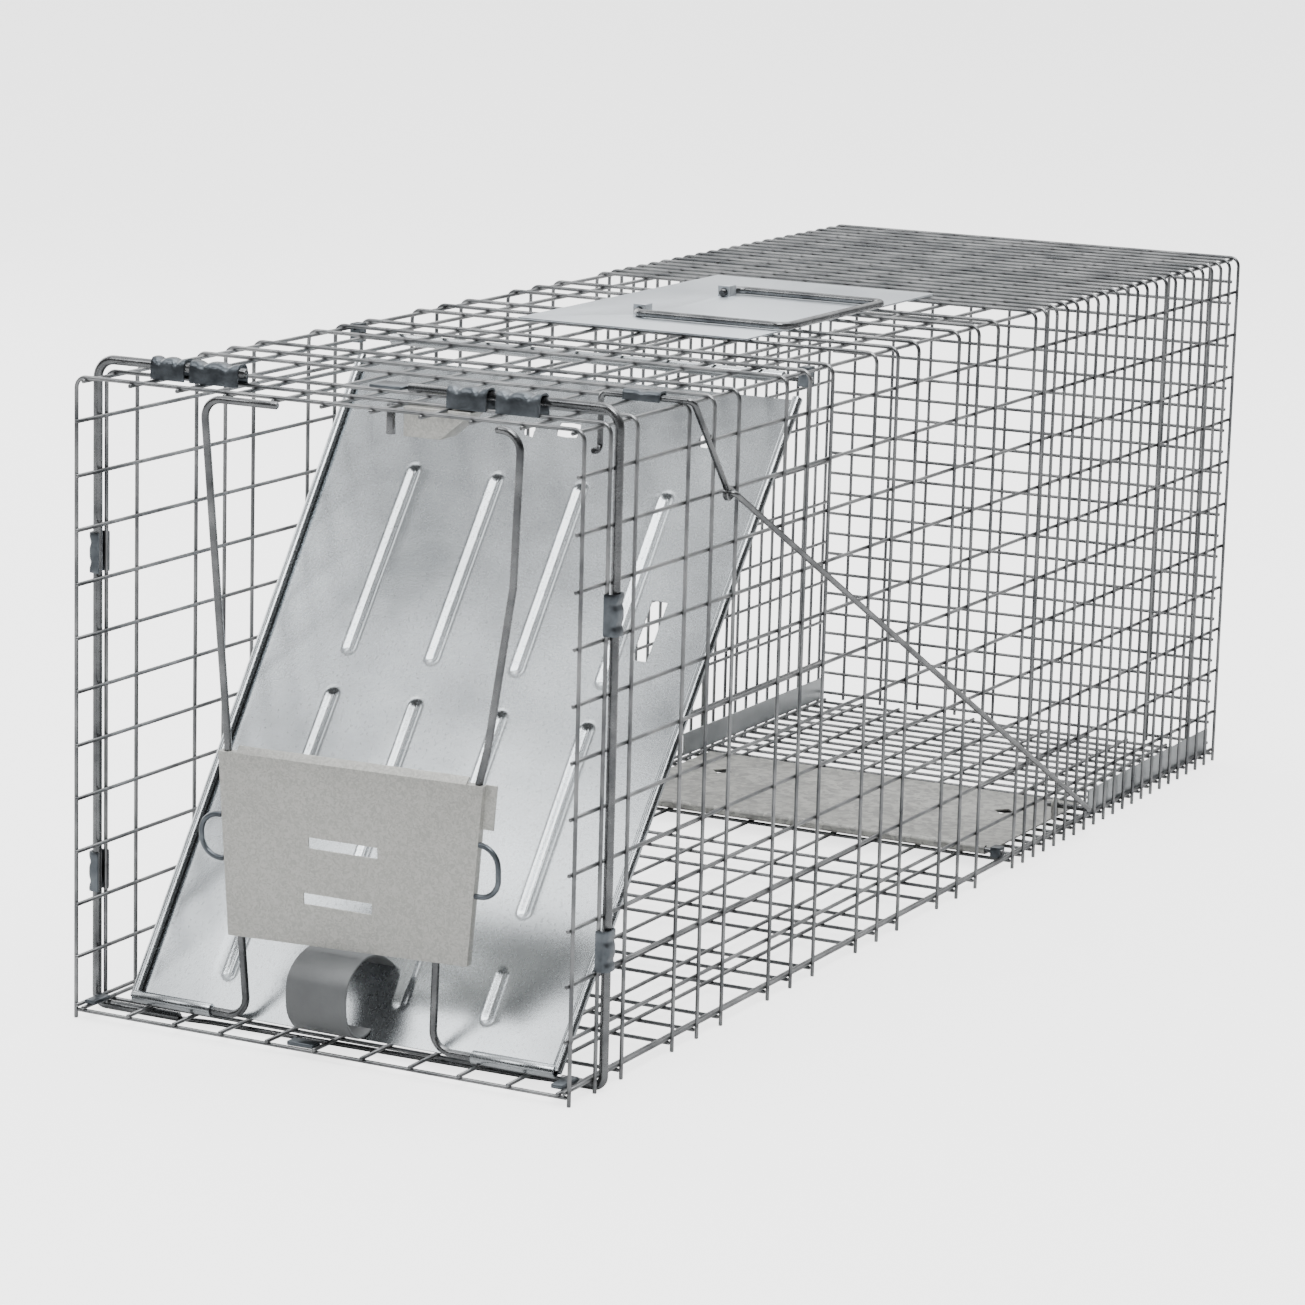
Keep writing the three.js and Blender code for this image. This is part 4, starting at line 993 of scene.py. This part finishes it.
    def build(self, shop: Workshop) -> None:
        """Makes the door's pieces and its hinge."""
        tube = []
        for side in (-1, 1):
            blind, mouth = side * self.foot_half, side * (self.foot_half - self.tube_length)
            tube.append(sleeve((blind, 0, self.hem_out), (mouth, 0, self.hem_out), self.tube_outer, self.tube_inner))
        reach = self.head_half - self.head_inset
        tube.append(sleeve((-reach, self.length, 0), (reach, self.length, 0), *self.barrel))
        panel = self.settle(join([self.sheet(), *tube]))
        shop.piece("beaded_door", panel, "bright_sheet", Body.DOOR, ("door_panel",), 50)
        shop.piece("door_grab_strip", self.settle(self.pull()), "dull_sheet", Body.DOOR, ("door_pull",), 50)
        rod = tubes(pin(self.pin_half, self.hinge), self.pin_radius, ROD_SIDES)
        shop.piece("door_hinge_pin", rod, "rod_steel", Body.CAGE, ("door_hinge_rod",))
        shop.soften(["pull_rivet_left", "pull_rivet_right"], "clip_steel", Body.DOOR)
        shop.soften(["hinge_hanger_left", "hinge_hanger_right"], "clip_steel", Body.CAGE)


@dataclass
class LockFrame:
    """Two bent rods that stand in the door's hem tubes, with a slotted plate and two wire loops."""

    foot: Pair = (16.0, 10.1)
    length: float = 292.7
    top_d: float = -5.0
    radius: float = 1.8
    left: tuple[Pair, ...] = ((-100, 0), (-46.5, 0), (-59, 1), (-20, 1))
    right: tuple[Pair, ...] = (
        (106, 0), (53, 0), (56, 0.155), (84.5, 0.5), (98.8, 0.76), (104, 1), (91.5, 1))
    bend: float = 9.0
    left_loop: tuple[Pair, float, float, float] = ((-54.9, -55.3), -66.5, 77.0, 98.0)
    right_loop: tuple[Pair, float, float, float] = ((77.9, 80.8), 90.4, 78.0, 102.5)
    loop_radius: float = 1.3
    loop_bend: float = 9.5
    loop_out: float = 0.75

    def settle(self, shape: Shape) -> Shape:
        """Moves a shape from the frame's axes (across, up the rods, out in front) into the trap's."""
        lean = math.asin((self.foot[0] - self.top_d) / self.length)
        x, r, n = shape.points.T
        c, k = math.cos(lean), math.sin(lean)
        shape.points = np.stack([x, self.foot[0] - r * k - n * c, self.foot[1] + r * c - n * k], -1)
        return shape

    def rod(self, path: tuple[Pair, ...]) -> Shape:
        """One bent rod; heights are shares of the frame's length."""
        corners = [(x, share * self.length, 0) for x, share in path]
        return self.settle(tubes(bent(corners, self.bend), self.radius, ROD_SIDES))

    def loop(self, inner: Pair, outer: float, low: float, high: float) -> Shape:
        """A wire loop that stands out from the plate's edge."""
        z = self.radius + self.loop_out
        path = [(inner[0], low, z), (outer, low, z), (outer, high, z), (inner[1], high, z)]
        return self.settle(tubes(bent(path, self.loop_bend), self.loop_radius, 14))

    def build(self, shop: Workshop) -> None:
        """Makes the lock frame's pieces."""
        shop.piece("lock_wire_left", self.rod(self.left), "rod_steel", Body.LOCK, ("lock_rod_left",))
        shop.piece("lock_wire_right", self.rod(self.right), "rod_steel", Body.LOCK, ("lock_rod_right",))
        shop.piece("side_loop_left", self.loop(*self.left_loop), "clip_steel", Body.LOCK, ("lock_loop_left",))
        shop.piece("side_loop_right", self.loop(*self.right_loop), "clip_steel", Body.LOCK, ("lock_loop_right",))
        shop.soften(["lock_plate"], "spangled_sheet", Body.LOCK)


@dataclass
class CarryHandle:
    """A round bail on a plate; it turns on two pins that point inwards."""

    radius: float = 2.0
    hinge_x: float = -20.0
    grip_x: float = 67.0
    near: float = 336.0
    far: float = 456.0
    pin: float = 18.0
    height: float = 309.1
    bend: float = 7.0

    def build(self, shop: Workshop) -> None:
        """Makes the bail and dresses its plate."""
        z = self.height
        path = [(self.hinge_x, self.near + self.pin, z), (self.hinge_x, self.near, z), (self.grip_x, self.near, z),
                (self.grip_x, self.far, z), (self.hinge_x, self.far, z), (self.hinge_x, self.far - self.pin, z)]
        bail = tubes(bent(path, self.bend), self.radius, ROD_SIDES)
        shop.piece("bail", bail, "rod_steel", Body.HANDLE, ("carry_handle",))
        shop.soften(["handle_plate"], "plate_sheet", Body.CAGE)


@dataclass
class Trigger:
    """Catch, shaft and arm in one wire, the clip over the shaft, and the long rod outside the wall."""

    shaft: Pair = (98.8, 305.7)
    arm: Pair = (137.2, 258.7)
    arm_x: float = 135.0
    catch_x: float = 88.0
    rod_x: float = 138.6
    lug: Pair = (602.5, 14.5)
    lug_end: float = 113.0
    radius: float = 1.5
    sides: int = 18
    wire_bend: float = 3.0
    rod_bend: float = 2.0
    clip_size: Triple = (2.95, 4.0, 19.0)
    clip_at: Triple = (100.0, 99.95, 303.9)

    def wire(self) -> Shape:
        """The trigger wire with its eye."""
        d, z = self.shaft
        path = [(self.catch_x, d - 6.5, z - 26), (self.catch_x, d, z - 27), (self.catch_x, d, z),
                (self.arm_x, d, z), (self.arm_x, self.arm[0] - 2, self.arm[1] + 2.4)]
        eye = sleeve((self.arm_x - 1.4, *self.arm), (self.arm_x + 1.4, *self.arm), 3.6, 1.8)
        return join([tubes(bent(path, self.wire_bend), self.radius, self.sides), eye])

    def long_rod(self) -> Shape:
        """The long rod with both ends turned in."""
        path = [(self.arm_x - 1.5, *self.arm), (self.rod_x, *self.arm), (self.rod_x, *self.lug),
                (self.lug_end, *self.lug)]
        return tubes(bent(path, self.rod_bend), self.radius, self.sides)

    def build(self, shop: Workshop, clips: FrontFrame) -> None:
        """Makes the trigger's pieces.

        Args:
            shop: makes and dresses the pieces.
            clips: lends its crimped arch.
        """
        shop.piece("trigger_bent_wire", self.wire(), "rod_steel", Body.TRIGGER, ("trigger_wire",))
        shop.piece("trigger_long_rod", self.long_rod(), "rod_steel", Body.ROD, ("trigger_rod",))
        clip = clips.clip(*self.clip_size, crimps=1)
        clip.points = clip.points + self.clip_at
        shop.piece("trigger_shaft_clip", clip, "clip_steel", Body.CAGE, ("trigger_clip",), 55)


@dataclass
class Pan:
    """The floor pan and its shaft."""

    shaft: Pair = (503.0, 9.7)
    shaft_half: float = 128.5
    shaft_radius: float = 1.5

    def build(self, shop: Workshop) -> None:
        """Makes the shaft and dresses the pan."""
        rod = tubes(pin(self.shaft_half, self.shaft), self.shaft_radius, ROD_SIDES)
        shop.piece("pan_hinge_pin", rod, "rod_steel", Body.CAGE, ("pan_shaft",))
        shop.soften(["treadle_pan"], "pan_sheet", Body.PAN)
        shop.soften(["pan_bearing_left", "pan_bearing_right"], "clip_steel", Body.CAGE)


# ---- studio ------------------------------------------------------------------


@dataclass
class Studio:
    """Pale floor, soft light and the camera."""

    camera_at: Triple = (1028.88, -1688.17, 602.49)
    right: Triple = (0.888049, 0.458979, 0.026584)
    down: Triple = (0.116001, -0.16774, -0.978983)
    forward: Triple = (-0.444873, 0.872469, -0.202203)
    lens: float = 123.65
    floor_glow: Pair = (0.1, 2.4)
    floor_half: float = 14.0
    floor_reach: float = 6.0
    floor_sweep: float = 3.0
    sky_tilt: Triple = (-0.25, 0.5, 0.6)
    sky_band: Pair = (0.15, 0.75)
    sky_strength: Pair = (0.04, 2.0)

    def floor(self) -> None:
        """A wide pale sheet that curves up far behind the trap, brighter to the eye than in reflections."""
        a = np.linspace(0, np.pi / 2, 17)
        reach, sweep = self.floor_reach, self.floor_sweep
        y = np.concatenate([[-reach], reach + sweep * np.sin(a)])
        z = np.concatenate([[0.0], sweep * (1 - np.cos(a))])
        points = spread(np.array([[-1.0], [1.0]]) * self.floor_half, y, z)
        n = len(y)
        k = np.arange(n - 1)
        mesh = bpy.data.meshes.new("studio_floor")
        mesh.from_pydata(points.reshape(-1, 3).tolist(), [], np.stack([k, k + n, k + n + 1, k + 1], -1).tolist())
        mesh.shade_smooth()
        thing = bpy.data.objects.new("studio_floor", mesh)
        bpy.context.scene.collection.objects.link(thing)
        paper = bpy.data.materials.new("paper")
        paper.use_nodes = True
        shader = paper.node_tree.nodes["Principled BSDF"]
        shader.inputs["Base Color"].default_value = (0.6, 0.6, 0.6, 1)
        shader.inputs["Roughness"].default_value = 0.9
        shader.inputs["Emission Color"].default_value = (1, 1, 1, 1)
        seen = paper.node_tree.nodes.new("ShaderNodeLightPath").outputs["Is Camera Ray"]
        glow = remap(paper.node_tree, seen, target=self.floor_glow)
        paper.node_tree.links.new(glow, shader.inputs["Emission Strength"])
        mesh.materials.append(paper)

    def lamp(self, name: str, at: Triple, size: float, power: float) -> None:
        """A square area light that faces the trap."""
        data = bpy.data.lights.new(name, "AREA")
        data.shape, data.size, data.energy = "SQUARE", size, power
        thing = bpy.data.objects.new(name, data)
        place = Matrix.Translation(at)
        aim = (-place.translation).to_track_quat("-Z", "Y").to_matrix().to_4x4()
        thing.matrix_world = place @ aim
        bpy.context.scene.collection.objects.link(thing)

    def surround(self) -> None:
        """A surround that is bright above and behind the trap, and dim in front of it.

        The brightness follows the direction looked in, along sky_tilt, smoothly between the ends of sky_band.
        """
        world = bpy.data.worlds.new("surround")
        world.use_nodes = True
        tree = world.node_tree
        place = tree.nodes.new("ShaderNodeTexCoord")
        tilt = tree.nodes.new("ShaderNodeVectorMath")
        tilt.operation = "DOT_PRODUCT"
        tilt.inputs[1].default_value = self.sky_tilt
        tree.links.new(place.outputs["Generated"], tilt.inputs[0])
        glow = remap(tree, tilt.outputs["Value"], self.sky_band, self.sky_strength, "SMOOTHSTEP")
        tree.links.new(glow, tree.nodes["Background"].inputs["Strength"])
        tree.nodes["Background"].inputs["Color"].default_value = (1, 1, 1, 1)
        bpy.context.scene.world = world

    def lights(self) -> None:
        """A broad light low on the left, a key from the front left, a top light and one that lights the beads."""
        self.lamp("side", (-2.3, 0.5, 0.9), 1.8, 40)
        self.lamp("key", (-1.5, -2.4, 2.4), 1.4, 35)
        self.lamp("top", (0.3, 0.8, 2.9), 2.2, 60)
        self.lamp("bead", (0.7, -1.3, 2.4), 1.2, 60)

    def camera(self) -> None:
        """The camera, turned by its own right, down and forward directions."""
        data = bpy.data.cameras.new("camera")
        data.lens, data.sensor_width, data.clip_end = self.lens, 36.0, 50.0
        thing = bpy.data.objects.new("camera", data)
        right, down, forward = (np.array(v) for v in (self.right, self.down, self.forward))
        turn = Matrix(np.stack([right, -down, -forward], 1).tolist()).to_4x4()
        at = (np.array(self.camera_at) + [CENTRE_X, FRONT_Y, 0]) * MM
        thing.matrix_world = Matrix.Translation(at.tolist()) @ turn
        bpy.context.scene.collection.objects.link(thing)
        bpy.context.scene.camera = thing

    def build(self) -> None:
        """Sets up the whole studio."""
        self.camera()
        self.floor()
        self.surround()
        self.lights()


def main() -> None:
    """Builds the studio and every sub-assembly."""
    logging.basicConfig(level=logging.INFO, format="%(message)s")
    Studio().build()
    shop = Workshop()
    clips = FrontFrame()
    WeldedCage().build(shop)
    clips.build(shop)
    Door().build(shop)
    LockFrame().build(shop)
    CarryHandle().build(shop)
    Trigger().build(shop, clips)
    Pan().build(shop)
    log.info("all pieces made")


if __name__ == "__main__":
    main()
